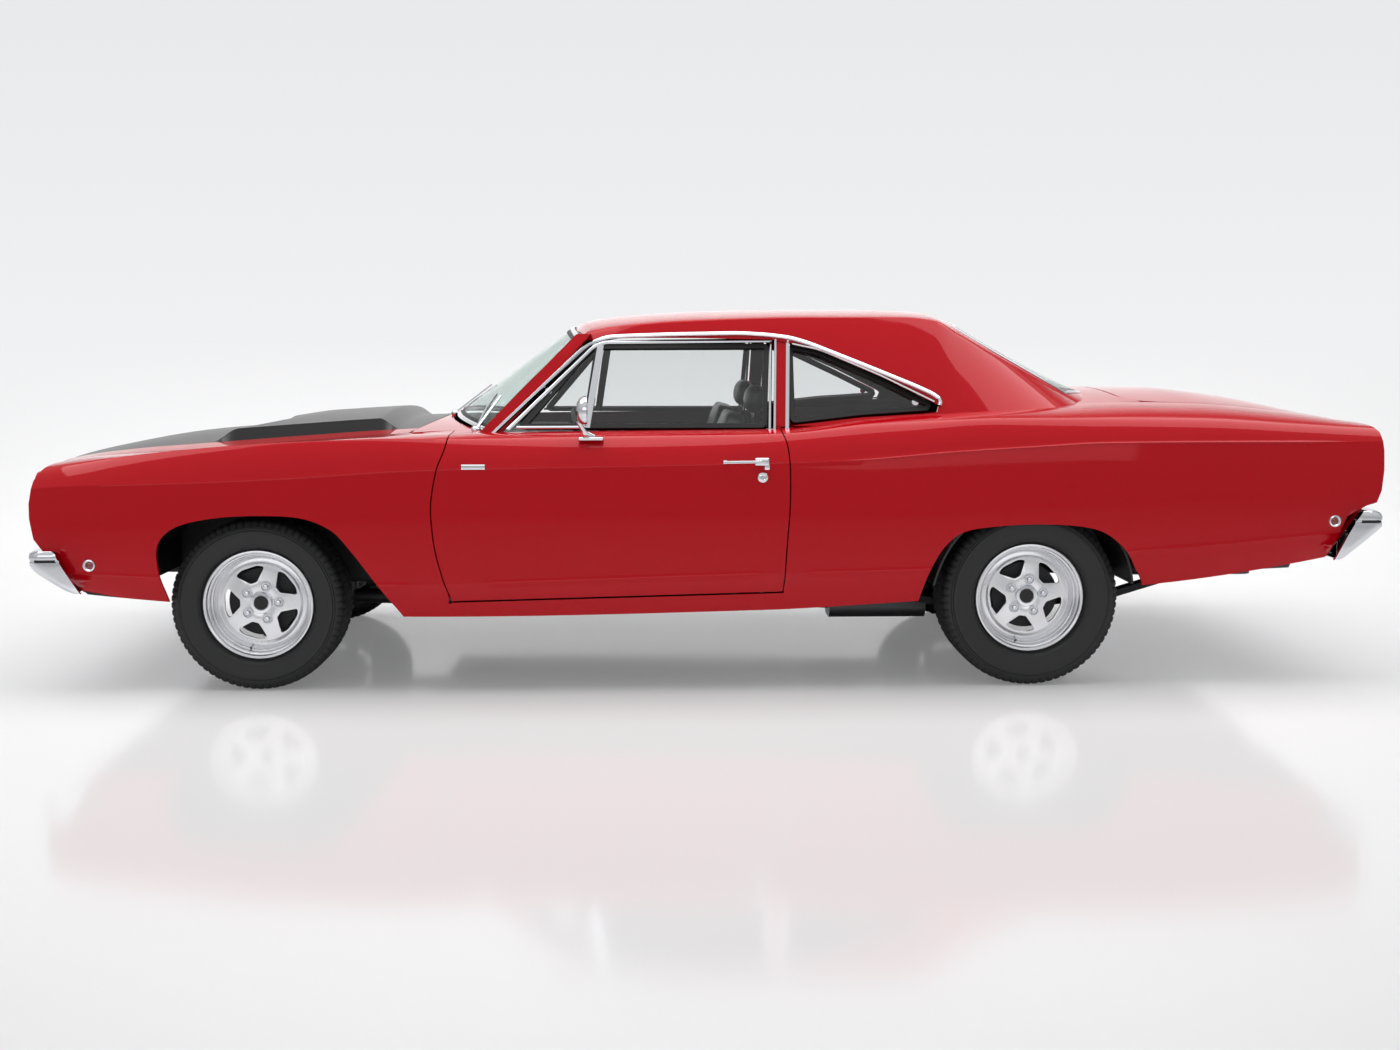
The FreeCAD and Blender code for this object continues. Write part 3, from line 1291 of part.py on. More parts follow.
def make_wheelhouses():
    y0, y1 = front_house_y
    arch = prism_y(offset_line(front_house_line, house_sheet), y0, y1)
    wall = prism_y(front_house_line, y0 - house_sheet, y0)
    front = largest(arch.fuse(wall).common(body_room).cut(front_suspension))
    tube_out = cylinder_y(rear_axle_x, rear_tyre_radius, rear_house_radius, rear_house_y[0],
                          rear_house_y[1])
    tube_in = cylinder_y(rear_axle_x, rear_tyre_radius, rear_house_radius - house_sheet,
                         rear_house_y[0] + house_sheet, rear_house_y[1] + 10)
    rear = tube_out.cut(tube_in).cut(box(900, 2100, 500, 1000, -200, 400)).common(body_room)
    return [both(front), both(largest(rear.cut(floor_pan)))]


save("wheelhouses", Part.makeCompound(make_wheelhouses()))


def make_rear_axle():
    """Axle tube, differential, drums, leaf springs with shackles, and propeller shaft."""
    z = rear_tyre_radius
    face_y = rear_track / 2 + rear_rim_width / 2 - spoke_plane - spoke_thickness
    drum_y = -face_y + 1.0
    tube = cylinder_y(rear_axle_x, z, axle_tube_radius, drum_y + 20, -drum_y - 20)
    diff = Part.makeSphere(diff_radius, Vector(rear_axle_x, 0, z))
    nose = rod(Vector(rear_axle_x - diff_length - 60, 0, z), Vector(rear_axle_x, 0, z), 55)
    shaft = rod(Vector(shaft_front[0], 0, shaft_front[1]),
                Vector(rear_axle_x - diff_length - 40, 0, z), shaft_radius)
    drum = cylinder_y(rear_axle_x, z, rear_drum_radius, drum_y, drum_y + rear_drum_width)
    hub = cylinder_y(rear_axle_x, z, hub_bore - rim_bore_gap, drum_y - 8.7, drum_y)
    pieces = [diff, nose, shaft, drum, hub, mirrored(drum), mirrored(hub)]
    leaf = prism_y(offset_line(spring_line, spring_thickness), spring_y - spring_width / 2,
                   spring_y + spring_width / 2)
    pad = box(rear_axle_x - 55, rear_axle_x + 55, spring_y - spring_width / 2,
              spring_y + spring_width / 2, 262, z)
    x, low, high = shackle
    link = box(x - 14, x + 14, spring_y - 20, spring_y + 20, low - 20, high)
    hanger = box(x - 40, x + 40, rear_rail_y[1], spring_y + 20, high - 30, high + 30)
    eye = box(spring_line[0][0] - 30, spring_line[0][0] + 30, spring_y - 34, spring_y + 34,
              spring_line[0][1] - 34, floor_top(spring_line[0][0] - 30) - floor_sheet - seat_gap)
    for piece in (leaf, pad, link, hanger, eye):
        pieces += [piece, mirrored(piece)]
    return tube.fuse(pieces)


rear_axle = make_rear_axle()
save("rear_axle", rear_axle.cut(floor_pan))
save("front_suspension", front_suspension.cut(floor_pan))
engine = box(engine_x[0], engine_x[1], -engine_half_width, engine_half_width, engine_z[0], engine_z[1])
gearbox = box(gearbox_x[0], gearbox_x[1], -gearbox_half_width, gearbox_half_width, gearbox_z[0],
              gearbox_z[1])
save("engine_block", engine.fuse(gearbox).cut([floor_pan, front_suspension]))


def make_exhaust():
    front = pipe(exhaust_route, exhaust_radius, 120)
    muffler = prism_x([(muffler_y - muffler_radius[0], muffler_z - muffler_radius[1]),
                       (muffler_y + muffler_radius[0], muffler_z - muffler_radius[1]),
                       (muffler_y + muffler_radius[0], muffler_z + muffler_radius[1]),
                       (muffler_y - muffler_radius[0], muffler_z + muffler_radius[1])],
                      muffler_x[0], muffler_x[1], 52)
    tail = pipe(tail_pipe_route, exhaust_radius, 110)
    x0, x1, y0, y1 = muffler_hanger
    strap = box(x0, x1, y0, y1, muffler_z, floor_z + 60)
    hook = box(hanger_x[0], hanger_x[1], rear_rail_y[1] + seat_gap, tail_pipe_route[-1][1], 455, 470)
    return largest(front.fuse([muffler, tail, strap, hook]).cut(floor_pan))


exhaust = make_exhaust()
save("exhaust", both(exhaust))
tank = prism_z([(tank_x[0], -tank_half_width), (tank_x[1], -tank_half_width),
                (tank_x[1], tank_half_width), (tank_x[0], tank_half_width)], tank_z[0], tank_z[1],
               tank_corner)
save("fuel_tank", tank.cut(floor_pan))


def make_steering_wheel():
    start = Vector(column_start[0], driver_y, column_start[1])
    end = Vector(column_end[0], driver_y, column_end[1])
    direction = (end - start).normalize()
    ring = Part.makeTorus(wheel_ring_radius, wheel_ring_section, end, direction)
    column = rod(start, end + direction * 6, column_radius)
    hub = Part.makeCylinder(52, 26, end - direction * 20, direction)
    spokes = []
    for lean in (-1, 1):
        tip = end + Y_DIR * lean * wheel_ring_radius
        spokes.append(rod(end, tip, 9))
    return ring.fuse([column, hub] + spokes).cut(dashboard)


save("steering_wheel", make_steering_wheel())


def bench(half, cushion_x, cushion_z, base_x, rake, thickness, back_z, y_middle):
    """Seat cushion and leaning back as one padded solid."""
    y0, y1 = y_middle - half, y_middle + half
    cushion = prism_y([(cushion_x[0], cushion_z[0]), (cushion_x[1], cushion_z[0]),
                       (cushion_x[1], cushion_z[1] - 10), (cushion_x[0], cushion_z[1])], y0, y1,
                      seat_corner)
    back = prism_y([(base_x, back_z[0]), (base_x + thickness, back_z[0]),
                    (base_x + rake + thickness * 0.75, back_z[1]), (base_x + rake, back_z[1])], y0 + 8,
                   y1 - 8, seat_corner)
    return cushion.fuse(back).removeSplitter()


def make_front_seats():
    seat = bench(front_seat_half_width, front_cushion_x, front_cushion_z, front_back_base_x - 60,
                 front_back_rake, front_back_thickness, front_back_z, driver_y)
    top_x = front_back_base_x - 60 + front_back_rake
    depth, half, height = headrest_size
    rest = prism_y([(top_x + 8, front_back_z[1] + headrest_lift),
                    (top_x + 8 + depth, front_back_z[1] + headrest_lift),
                    (top_x + 20 + depth, front_back_z[1] + headrest_lift + height),
                    (top_x + 26, front_back_z[1] + headrest_lift + height)], driver_y - half,
                   driver_y + half, 30)
    posts = [rod(Vector(top_x + 45, driver_y + side * 50, front_back_z[1] - 30),
                 Vector(top_x + 52, driver_y + side * 50, front_back_z[1] + headrest_lift + 20), 7)
             for side in (-1, 1)]
    x0, x1 = front_cushion_x[0] + 60, front_cushion_x[1] - 60
    track = prism_y([(x0, floor_top(x0) + seat_gap), (x1, floor_top(x1) + seat_gap),
                     (x1, front_cushion_z[0] + 10), (x0, front_cushion_z[0] + 10)],
                    driver_y - front_seat_half_width + 40, driver_y + front_seat_half_width - 40)
    return seat.fuse([rest, track] + posts)


save("front_seats", both(make_front_seats()))
rear_seat = bench(rear_seat_half_width, rear_cushion_x, rear_cushion_z, rear_back_base_x, rear_back_rake,
                  rear_back_thickness, rear_back_z, 0)
under_floor = prism_y(floor_line + [(2640, 100), (-690, 100)], -1000, 1000)
save("rear_seat", rear_seat.cut([under_floor, floor_pan]))


def make_mirror():
    x0, x1, foot_z = mirror_foot
    head_x, low, high = mirror_head
    stem = rod(Vector((x0 + x1) / 2, -mirror_y[0], foot_z - 6),
               Vector(head_x, -mirror_y[1] + 20, low + 30), 9)
    foot = Part.makeCylinder(26, 12, Vector((x0 + x1) / 2, -mirror_y[0] + 10, foot_z - 12), Z_DIR)
    head = Part.makeSphere(mirror_radius, Vector(head_x, -mirror_y[1], (low + high) / 2 + 10))
    head = head.cut(box(head_x + 14, head_x + 100, -1200, -800, 900, 1300))
    return stem.fuse([foot, head]).cut(door_left)


save("mirror", make_mirror())
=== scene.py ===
# Looks of a two-door muscle car coupe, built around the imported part.
# Lengths in the tables are millimetres with X = 0 midway between the axles, the nose towards
# -X and the left side towards -Y. The function at() brings them into the part's own frame.
import math

import bmesh
import bpy
from mathutils import Matrix, Vector


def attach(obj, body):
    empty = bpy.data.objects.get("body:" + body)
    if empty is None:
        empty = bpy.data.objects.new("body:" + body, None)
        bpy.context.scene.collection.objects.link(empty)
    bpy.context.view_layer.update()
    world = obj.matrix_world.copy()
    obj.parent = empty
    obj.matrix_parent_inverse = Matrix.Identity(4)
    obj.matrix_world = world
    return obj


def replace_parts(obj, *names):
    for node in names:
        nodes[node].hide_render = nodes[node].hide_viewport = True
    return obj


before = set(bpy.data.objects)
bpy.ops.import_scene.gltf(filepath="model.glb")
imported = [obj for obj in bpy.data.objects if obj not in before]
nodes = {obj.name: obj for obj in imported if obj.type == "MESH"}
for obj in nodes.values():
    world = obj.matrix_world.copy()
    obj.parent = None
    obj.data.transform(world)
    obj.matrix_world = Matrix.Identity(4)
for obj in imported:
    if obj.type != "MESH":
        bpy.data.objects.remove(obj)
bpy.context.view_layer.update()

MIDDLE = 254.5
FRONT_AXLE = (-1473.0, 755.5, 328.0)
REAR_AXLE = (1473.0, 752.0, 341.0)
SIDES = ("left", "right")
FIXED = ("root", "root")
DOORS = ("left_door", "right_door")


def at(x, y, z):
    """Point in metres in the part's frame."""
    return Vector(((x - MIDDLE) / 1000, y / 1000, z / 1000))


def linear(colour):
    """Linear RGB of an sRGB hex colour."""
    values = [int(colour[i:i + 2], 16) / 255 for i in (1, 3, 5)]
    return [v / 12.92 if v <= 0.04045 else ((v + 0.055) / 1.055) ** 2.4 for v in values]


# Materials
class Shader:
    """A node tree under construction, with one call to add a node and its links."""

    def __init__(self, name, owners=None):
        self.owner = (bpy.data.materials if owners is None else owners).new(name)
        self.owner.use_nodes = True
        self.tree = self.owner.node_tree
        self.tree.nodes.clear()
        self.coords = self.node("ShaderNodeTexCoord")

    def fill(self, socket, value):
        if isinstance(value, bpy.types.NodeSocket):
            self.tree.links.new(value, socket)
        else:
            socket.default_value = value

    def node(self, kind, inputs=None, **settings):
        node = self.tree.nodes.new(kind)
        for key, value in settings.items():
            setattr(node, key, value)
        for key, value in (inputs or {}).items():
            self.fill(node.inputs[key], value)
        return node

    def maths(self, operation, a, b=0.0):
        return self.node("ShaderNodeMath", {0: a, 1: b}, operation=operation).outputs[0]

    def split(self, coordinate="Object"):
        """The X, Y and Z of a texture coordinate."""
        vector = self.coords.outputs[coordinate]
        return self.node("ShaderNodeSeparateXYZ", {"Vector": vector}).outputs

    def noise(self, scale, detail=3.0):
        vector = self.coords.outputs["Object"]
        node = self.node("ShaderNodeTexNoise", {"Vector": vector, "Scale": scale, "Detail": detail})
        return node.outputs["Fac"]

    def spread(self, value, low, high, start=0.0, end=1.0):
        """Value carried over from the range start to end into the range low to high."""
        node = self.node("ShaderNodeMapRange", {"Value": value, "From Min": start, "From Max": end,
                                                "To Min": low, "To Max": high})
        return node.outputs["Result"]

    def bump(self, height, strength, distance):
        node = self.node("ShaderNodeBump", {"Height": height, "Strength": strength,
                                            "Distance": distance})
        return node.outputs["Normal"]

    def mix(self, factor, a, b):
        """Mixed colour."""
        return self.node("ShaderNodeMix", {0: factor, 6: a, 7: b}, data_type="RGBA").outputs[2]

    def blend(self, factor, a, b):
        """Mixed shader."""
        return self.node("ShaderNodeMixShader", {0: factor, 1: a, 2: b}).outputs[0]

    def finish(self, shader, kind="ShaderNodeOutputMaterial"):
        self.node(kind, {"Surface": shader})
        return self.owner


def rgba(colour):
    return (*linear(colour), 1.0)


def plain(name, colour, rough, metallic=0.0, coat=0.0, grain=None, uneven=0.04):
    """Opaque finish whose roughness wanders a little; grain is (scale, strength, distance)."""
    s = Shader(name)
    inputs = {"Base Color": rgba(colour), "Metallic": metallic, "Coat Weight": coat,
              "Coat Roughness": 0.03,
              "Roughness": s.spread(s.noise(9.0), max(rough - uneven, 0.02), rough + uneven)}
    if grain:
        inputs["Normal"] = s.bump(s.noise(grain[0], 4.0), grain[1], grain[2])
    return s.finish(s.node("ShaderNodeBsdfPrincipled", inputs).outputs[0])


def paint_material(name, hood_stripe=False):
    """Glossy red enamel; what faces into the cabin, down or into the lids is satin black."""
    s = Shader(name)
    y = s.split()[1]
    _, normal_y, normal_z = s.split("Normal")
    inward = s.maths("MULTIPLY", s.maths("SIGN", y), normal_y)
    hidden = s.maths("MAXIMUM", s.maths("LESS_THAN", inward, -0.35),
                     s.maths("LESS_THAN", normal_z, -0.55))
    base = s.mix(hidden, rgba("#B20A16"), rgba("#0B0B0C"))
    rough = s.maths("ADD", s.spread(s.noise(5.0), 0.035, 0.055), s.maths("MULTIPLY", hidden, 0.45))
    if hood_stripe:
        stripe = s.maths("LESS_THAN", s.maths("ABSOLUTE", y), HOOD_BLACK_HALF)
        base = s.mix(stripe, base, rgba("#141415"))
        rough = s.maths("ADD", rough, s.maths("MULTIPLY", stripe, 0.27))
    shader = s.node("ShaderNodeBsdfPrincipled", {
        "Base Color": base, "Roughness": rough, "Specular IOR Level": 0.5,
        "Specular Tint": (1.0, 1.0, 1.0, 1.0) if hood_stripe else (1.0, 0.42, 0.44, 1.0)})
    return s.finish(shader.outputs[0])


def glass_material(name, tint, slant_film=0.5):
    """Thin clear pane: a tinted view through it, with a mirror film that grows at a slant."""
    s = Shader(name)
    clear = s.node("ShaderNodeBsdfTransparent", {"Color": rgba(tint)}).outputs[0]
    film = s.node("ShaderNodeBsdfGlossy", {"Color": (0.95, 0.95, 0.95, 1), "Roughness": 0.01})
    facing = s.node("ShaderNodeLayerWeight", {"Blend": 0.5}).outputs["Facing"]
    slant = s.maths("MULTIPLY", s.maths("POWER", facing, 5.0), slant_film)
    return s.finish(s.blend(s.maths("ADD", slant, 0.035), clear, film.outputs[0]))


# Half width in metres of the black middle of the hood
HOOD_BLACK_HALF = 0.572

PAINT = paint_material("glossy red enamel")
HOOD_PAINT = paint_material("red enamel with a satin black middle", True)
BLACK_PAINT = plain("satin black chassis paint", "#0C0C0D", 0.45)
CHROME = plain("chrome plate", "#D9DBDF", 0.05, 1.0, uneven=0.02)
ALUMINIUM = plain("polished cast aluminium", "#DFE0E3", 0.22, 0.82, grain=(160.0, 0.06, 0.001))
RUBBER = plain("tyre rubber", "#0F1012", 0.5, grain=(300.0, 0.12, 0.001))
# Tread rubber, rougher than the sidewall; its colour is painted lighter than the sidewall as
# painted light, so the tread shows in the shade under the fenders
TREAD_PAINTED_LIGHTER = plain("tread rubber painted lighter against shade", "#17181A", 0.7, grain=(180.0, 0.25, 0.001))
SEAL = plain("black rubber seal", "#070708", 0.5)
VINYL = plain("black pleated vinyl", "#101113", 0.38, grain=(420.0, 0.25, 0.0006))
TRIM_BLACK = plain("black moulded trim", "#101112", 0.5, grain=(300.0, 0.15, 0.0006))
LAMP_RED = plain("red lamp lens", "#7A0508", 0.12, coat=1.0)
CAST = plain("oily cast iron", "#202124", 0.6, 0.4, grain=(90.0, 0.3, 0.002))
STEEL = plain("dull exhaust steel", "#4A4A4C", 0.42, 0.9, grain=(60.0, 0.1, 0.002))
CLEAR = glass_material("clear side glass", "#F8F9F9")
SCREEN = glass_material("faintly green windshield glass", "#F3F9F7", 0.35)
LENS = plain("ribbed lamp glass", "#C9CDD2", 0.08, 0.3, coat=1.0)

CAD_LOOKS = {
    PAINT: ["fender_left", "fender_right", "quarter_left", "quarter_right", "trunk_lid", "roof",
            "cowl_panels", "pillars", "rockers", "nose_panel", "tail_panel", "door_left",
            "door_right"],
    HOOD_PAINT: ["hood"],
    BLACK_PAINT: ["floor_pan", "wheelhouses"],
    CHROME: ["front_bumper", "rear_bumper", "mirror"],
    TRIM_BLACK: ["dashboard", "grille", "steering_wheel"],
    VINYL: ["front_seats", "rear_seat"],
    LAMP_RED: ["tail_lamps"],
    CAST: ["engine_block", "rear_axle", "front_suspension", "knuckle_left", "knuckle_right"],
    STEEL: ["exhaust", "fuel_tank"],
    SCREEN: ["windshield"],
    CLEAR: ["rear_glass", "door_glass_left", "door_glass_right"],
    LENS: ["headlamps"],
    ALUMINIUM: ["rim_front_left", "rim_front_right", "rim_rear_left", "rim_rear_right"],
    RUBBER: ["tyre_front_left", "tyre_front_right", "tyre_rear_left", "tyre_rear_right"],
}
for look, names in CAD_LOOKS.items():
    for name in names:
        nodes[name].data.materials.clear()
        nodes[name].data.materials.append(look)


# Making pieces
def placed(bm, name):
    """The bmesh as an object in the scene, its faces turned outwards."""
    bmesh.ops.recalc_face_normals(bm, faces=bm.faces)
    mesh = bpy.data.meshes.new(name)
    bm.to_mesh(mesh)
    bm.free()
    obj = bpy.data.objects.new(name, mesh)
    bpy.context.scene.collection.objects.link(obj)
    return obj


def piece(name, bm, looks, body, sharp=38.0):
    """Finished object from a bmesh: smooth but for edges sharper than the angle."""
    bmesh.ops.remove_doubles(bm, verts=bm.verts, dist=1e-6)
    obj = placed(bm, name.replace(" ", "_"))
    for face in obj.data.polygons:
        face.use_smooth = True
    obj.data.set_sharp_from_angle(angle=math.radians(sharp))
    for look in looks if isinstance(looks, list) else [looks]:
        obj.data.materials.append(look)
    if body:
        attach(obj, body)
    return obj


def pair(name, source, looks, bodies, sharp=38.0):
    """The left piece and its mirror image on the right, both from the left one's mesh."""
    made = []
    for side, body in zip(SIDES, bodies):
        bm = source.copy()
        if side == "right":
            bmesh.ops.scale(bm, vec=(1, -1, 1), verts=bm.verts)
            bmesh.ops.reverse_faces(bm, faces=bm.faces)
        made.append(piece(name + " " + side, bm, looks, body, sharp))
    source.free()
    return made


def replace_pair(made, node):
    """Shows a left and a right piece in place of the nodes of that name and side."""
    for obj, side in zip(made, SIDES):
        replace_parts(obj, node + "_" + side)


def bridge(bm, rows, around=True, turn=False, material=0):
    """Quads between neighbouring rows of vertices; turn joins the last row to the first."""
    for a, b in zip(rows, rows[1:] + rows[:1] if turn else rows[1:]):
        for j in range(len(a) if around else len(a) - 1):
            k = (j + 1) % len(a)
            bm.faces.new([a[j], b[j], b[k], a[k]]).material_index = material


def capped(bm, rows):
    """Closed bar through rows of vertices."""
    bridge(bm, rows)
    bm.faces.new(rows[0])
    bm.faces.new(rows[-1][::-1])


def lathe(bm, profile, segments=96, material=0):
    """Turns closed (radius, y) points in millimetres about Y; the first angle points up."""
    rings = []
    for i in range(segments):
        angle = 2 * math.pi * i / segments
        across, up = math.sin(angle) / 1000, math.cos(angle) / 1000
        rings.append([bm.verts.new((r * across, y / 1000, r * up)) for r, y in profile])
    bridge(bm, rings, True, True, material)
    return rings


def turned_x(bm, x, y, z, profile, material=0, oval=1.0):
    """Turned form about an axis along the car; the profile is (radius, x) from the face back."""
    rings = []
    for i in range(48):
        angle = 2 * math.pi * i / 48
        across, up = oval * math.cos(angle), math.sin(angle)
        rings.append([bm.verts.new(at(x + a, y + max(r, 0.01) * across, z + max(r, 0.01) * up))
                      for r, a in profile])
    bridge(bm, rings, False, True, material)


def sweep(bm, points, outward, profile, closed=False):
    """Runs a profile of (sideways, outward) points along a path of points in millimetres."""
    rings = []
    count = len(points)
    for i, point in enumerate(points):
        before = points[i - 1] if closed or i else points[i]
        after = points[(i + 1) % count] if closed or i < count - 1 else points[i]
        along = (Vector(after) - Vector(before)).normalized()
        out = outward[i] if isinstance(outward, list) else outward
        out = (Vector(out) - along * Vector(out).dot(along)).normalized()
        across = along.cross(out)
        rings.append([bm.verts.new(at(*(Vector(point) + across * a + out * b)))
                      for a, b in profile])
    if closed:
        bridge(bm, rings, True, True)
    else:
        capped(bm, rings)


def moulding(width, height):
    """Low rounded profile of a bright strip."""
    half = width / 2
    return [(-half, -1.0), (-half, height * 0.55), (-half * 0.6, height * 0.9), (0, height),
            (half * 0.6, height * 0.9), (half, height * 0.55), (half, -1.0)]


def circle(radius, sides):
    turns = [2 * math.pi * i / sides for i in range(sides)]
    return [(radius * math.cos(turn), radius * math.sin(turn)) for turn in turns]


def block(bm, x0, x1, y0, y1, z0, z1, round_by=0.0, segments=2):
    """Box in millimetres with rounded edges."""
    made = bmesh.ops.create_cube(bm, size=1.0)["verts"]
    low, high = at(x0, y0, z0), at(x1, y1, z1)
    for vert in made:
        vert.co = Vector([a + (b - a) * (c + 0.5) for a, b, c in zip(low, high, vert.co)])
    if round_by:
        edges = list({edge for vert in made for edge in vert.link_edges})
        bmesh.ops.bevel(bm, geom=edges, offset=round_by / 1000, segments=segments, profile=0.5,
                        affect="EDGES", material=-1)


def smooth(table, x):
    """Value at x of a monotone cubic through rows of (x, value)."""
    if x <= table[0][0]:
        return table[0][1]
    if x >= table[-1][0]:
        return table[-1][1]
    slopes = [(b[1] - a[1]) / (b[0] - a[0]) for a, b in zip(table, table[1:])]
    tangents = [slopes[0]]
    for before, after in zip(slopes, slopes[1:]):
        tangents.append(2 * before * after / (before + after) if before * after > 0 else 0.0)
    tangents.append(slopes[-1])
    row = max(i for i, item in enumerate(table[:-1]) if item[0] <= x)
    step = table[row + 1][0] - table[row][0]
    t = (x - table[row][0]) / step
    start = (1 + 2 * t) * (1 - t) ** 2 * table[row][1] + t * (1 - t) ** 2 * step * tangents[row]
    end = t * t * (3 - 2 * t) * table[row + 1][1] - t * t * (1 - t) * step * tangents[row + 1]
    return start + end


def mixed(a, b, t, push=(0.0, 0.0)):
    """Point between two, pushed off the straight line."""
    return (a[0] + (b[0] - a[0]) * t + push[0], a[1] + (b[1] - a[1]) * t + push[1])


def cubic(poles, t):
    """Point of a cubic curve through its four poles."""
    weights = ((1 - t) ** 3, 3 * t * (1 - t) ** 2, 3 * t * t * (1 - t), t ** 3)
    return tuple(sum(w * p[k] for w, p in zip(weights, poles)) for k in (0, 1))


def resampled(points, step=25.0):
    """Points of a polyline at an even pace."""
    result = []
    for a, b in zip(points, points[1:]):
        a, b = Vector(a), Vector(b)
        count = max(1, int((b - a).length / step))
        result += [a.lerp(b, i / count) for i in range(count)]
    return result + [Vector(points[-1])]


def rounded(outline, radius):
    """Open outline with its inner corners rounded."""
    corners = [Vector(point) for point in outline]
    result = [outline[0]]
    for a, b, c in zip(corners, corners[1:], corners[2:]):
        reach = min(radius, (a - b).length * 0.45, (c - b).length * 0.45)
        start, end = b + (a - b).normalized() * reach, b + (c - b).normalized() * reach
        for i in range(6):
            t = i / 5
            result.append(tuple(start * (1 - t) ** 2 + b * 2 * t * (1 - t) + end * t * t))
    return result + [outline[-1]]


# Greenhouse rows, as in the part
BELT_Y = [(-400, 812), (0, 822), (600, 826), (1300, 822), (1950, 800)]
BELT_Z = [(-400, 975), (0, 978), (600, 985), (1100, 1020), (1950, 1010)]
ROOF_EDGE_Y = [(-400, 596), (-100, 628), (400, 640), (1000, 632), (1300, 612), (1950, 600)]
ROOF_EDGE_Z = [(-400, 1290), (-256, 1343), (-100, 1374), (150, 1396), (662, 1411), (1000, 1411),
               (1132, 1398), (1232, 1342), (1391, 1250), (1552, 1163), (1693, 1085), (1950, 960)]


def side_poles(belt, edge):
    """Curve up the greenhouse side, from its belt to the edge of the roof."""
    return belt, mixed(belt, edge, 1 / 3, (6, 2)), mixed(belt, edge, 0.72, (14, 4)), edge


def roof_side(x, z):
    """Half width of the greenhouse side at x and height z."""
    poles = side_poles((smooth(BELT_Y, x), smooth(BELT_Z, x)),
                       (smooth(ROOF_EDGE_Y, x), smooth(ROOF_EDGE_Z, x)))
    low, high = 0.0, 1.0
    for _ in range(24):
        t = (low + high) / 2
        if cubic(poles, t)[1] < z:
            low = t
        else:
            high = t
    return cubic(poles, t)[0]


def side_path(outline):
    """Points and outward directions on the left greenhouse side along (x, z) corners."""
    points = []
    normals = []
    for x, z in resampled(outline, 30.0):
        y = roof_side(x, z)
        rise = roof_side(x, z + 5) - y
        ahead = roof_side(x + 5, z) - y
        points.append(Vector((x, -y, z)))
        normals.append(Vector((ahead / 5, -1.0, rise / 5)).normalized())
    return points, normals


# Body side rows, as in the part: x against half width or height
HALF_WIDTH = [(-2340, 886), (-2150, 922), (-1900, 944), (-1500, 958), (-700, 968), (300, 970),
              (1300, 970), (1900, 962), (2400, 944), (2850, 910)]
BOTTOM_Z = [(-2340, 400), (-2077, 375), (-1800, 351), (-928, 292), (-718, 291), (429, 310),
            (962, 338), (1900, 398), (2591, 495), (2850, 560)]
LOWER_Z = [(-2340, 470), (-2099, 459), (-1824, 447), (-1017, 416), (-723, 421), (453, 455),
           (1058, 468), (1829, 529), (2635, 598), (2850, 625)]
UPPER_Z = [(-2340, 772), (-2124, 788), (-1759, 799), (-1362, 815), (-838, 846), (300, 868),
           (769, 880), (1137, 909), (1514, 932), (1703, 942), (2082, 945), (2850, 942)]
SHOULDER_Z = [(-2340, 838), (-2227, 853), (-2150, 864), (-1963, 893), (-1740, 918), (-1369, 946),
              (-922, 961), (-619, 955), (-198, 951), (203, 957), (421, 965), (775, 988),
              (956, 1002), (1334, 1028), (1714, 1030), (2096, 1026), (2480, 1010), (2850, 992)]
EDGE_Z = [(-2340, 845), (-2227, 866), (-2098, 885), (-1716, 911), (-1333, 941), (-949, 967),
          (-600, 978), (0, 985), (500, 990), (853, 1030), (1100, 1048), (1500, 1068),
          (1880, 1082), (2143, 1078), (2480, 1050), (2850, 996)]
EDGE_Y = [(-2340, 700), (-1000, 700), (-600, 800), (0, 820), (600, 820), (1300, 745),
          (1700, 650), (2850, 640)]
CENTRE_Z = [(-2340, 852), (-2230, 882), (-1865, 944), (-1486, 972), (-934, 1003), (-600, 1010),
            (1300, 1060), (1700, 1110), (1880, 1123), (2143, 1122), (2400, 1097), (2770, 1012),
            (2850, 992)]
CREASE_IN = [(-2340, 12), (-838, 10), (300, 12), (1137, 16), (2850, 16)]
CREASE_LIFT = [(-2340, 0.3), (500, 0.3), (620, 0.4), (860, 3.0), (2450, 3.0), (2640, 0.8),
               (2850, 0.2)]
SILL_CREASE_LIFT = [(-2340, 1.8), (-920, 1.8), (-840, 0.0), (-640, 0.0), (-560, 1.8), (400, 1.8),
                    (480, 0.0), (560, 0.0), (640, 1.8), (2850, 1.8)]
SHOULDER_IN = [(-2340, 70), (-1900, 78), (-600, 66), (300, 68), (1300, 74), (2850, 66)]
ROOF_CENTRE_Z = [(-400, 1350), (-301, 1384), (-194, 1413), (19, 1435), (233, 1446), (662, 1453),
                 (877, 1453), (1092, 1446), (1222, 1417), (1300, 1378), (1529, 1258), (1700, 1172),
                 (1860, 1098), (1950, 1056)]
NOSE = [(-2100, 1500), (-2226, 880), (-2262, 842), (-2284, 806), (-2299, 719), (-2298, 663),
        (-2284, 588), (-2259, 556), (-2100, 380), (-2092, 200)]
TAIL = [(2600, 200), (2604, 492), (2669, 660), (2745, 700), (2784, 711), (2801, 757), (2809, 833),
        (2809, 910), (2801, 976), (2772, 1014), (2730, 1500)]
DOOR_FRONT = [(-700, 200), (-714, 292), (-728, 357), (-756, 437), (-784, 550), (-796, 662),
              (-795, 737), (-774, 849), (-742, 942), (-718, 1100)]
DOOR_REAR = [(514, 200), (514, 384), (519, 430), (527, 560), (537, 700), (538, 845), (529, 938),
             (508, 1000), (500, 1100)]
FRONT_ARCH = [(-1780, 200), (-1791, 356), (-1813, 461), (-1817, 555), (-1781, 613), (-1707, 650),
              (-1577, 673), (-1430, 679), (-1283, 670), (-1174, 627), (-1102, 551), (-1013, 430),
              (-900, 270), (-880, 200)]
REAR_ARCH = [(1000, 200), (1033, 350), (1069, 465), (1125, 559), (1199, 612), (1332, 632),
             (1483, 638), (1635, 629), (1731, 602), (1810, 537), (1858, 460), (1890, 400),
             (1950, 200)]
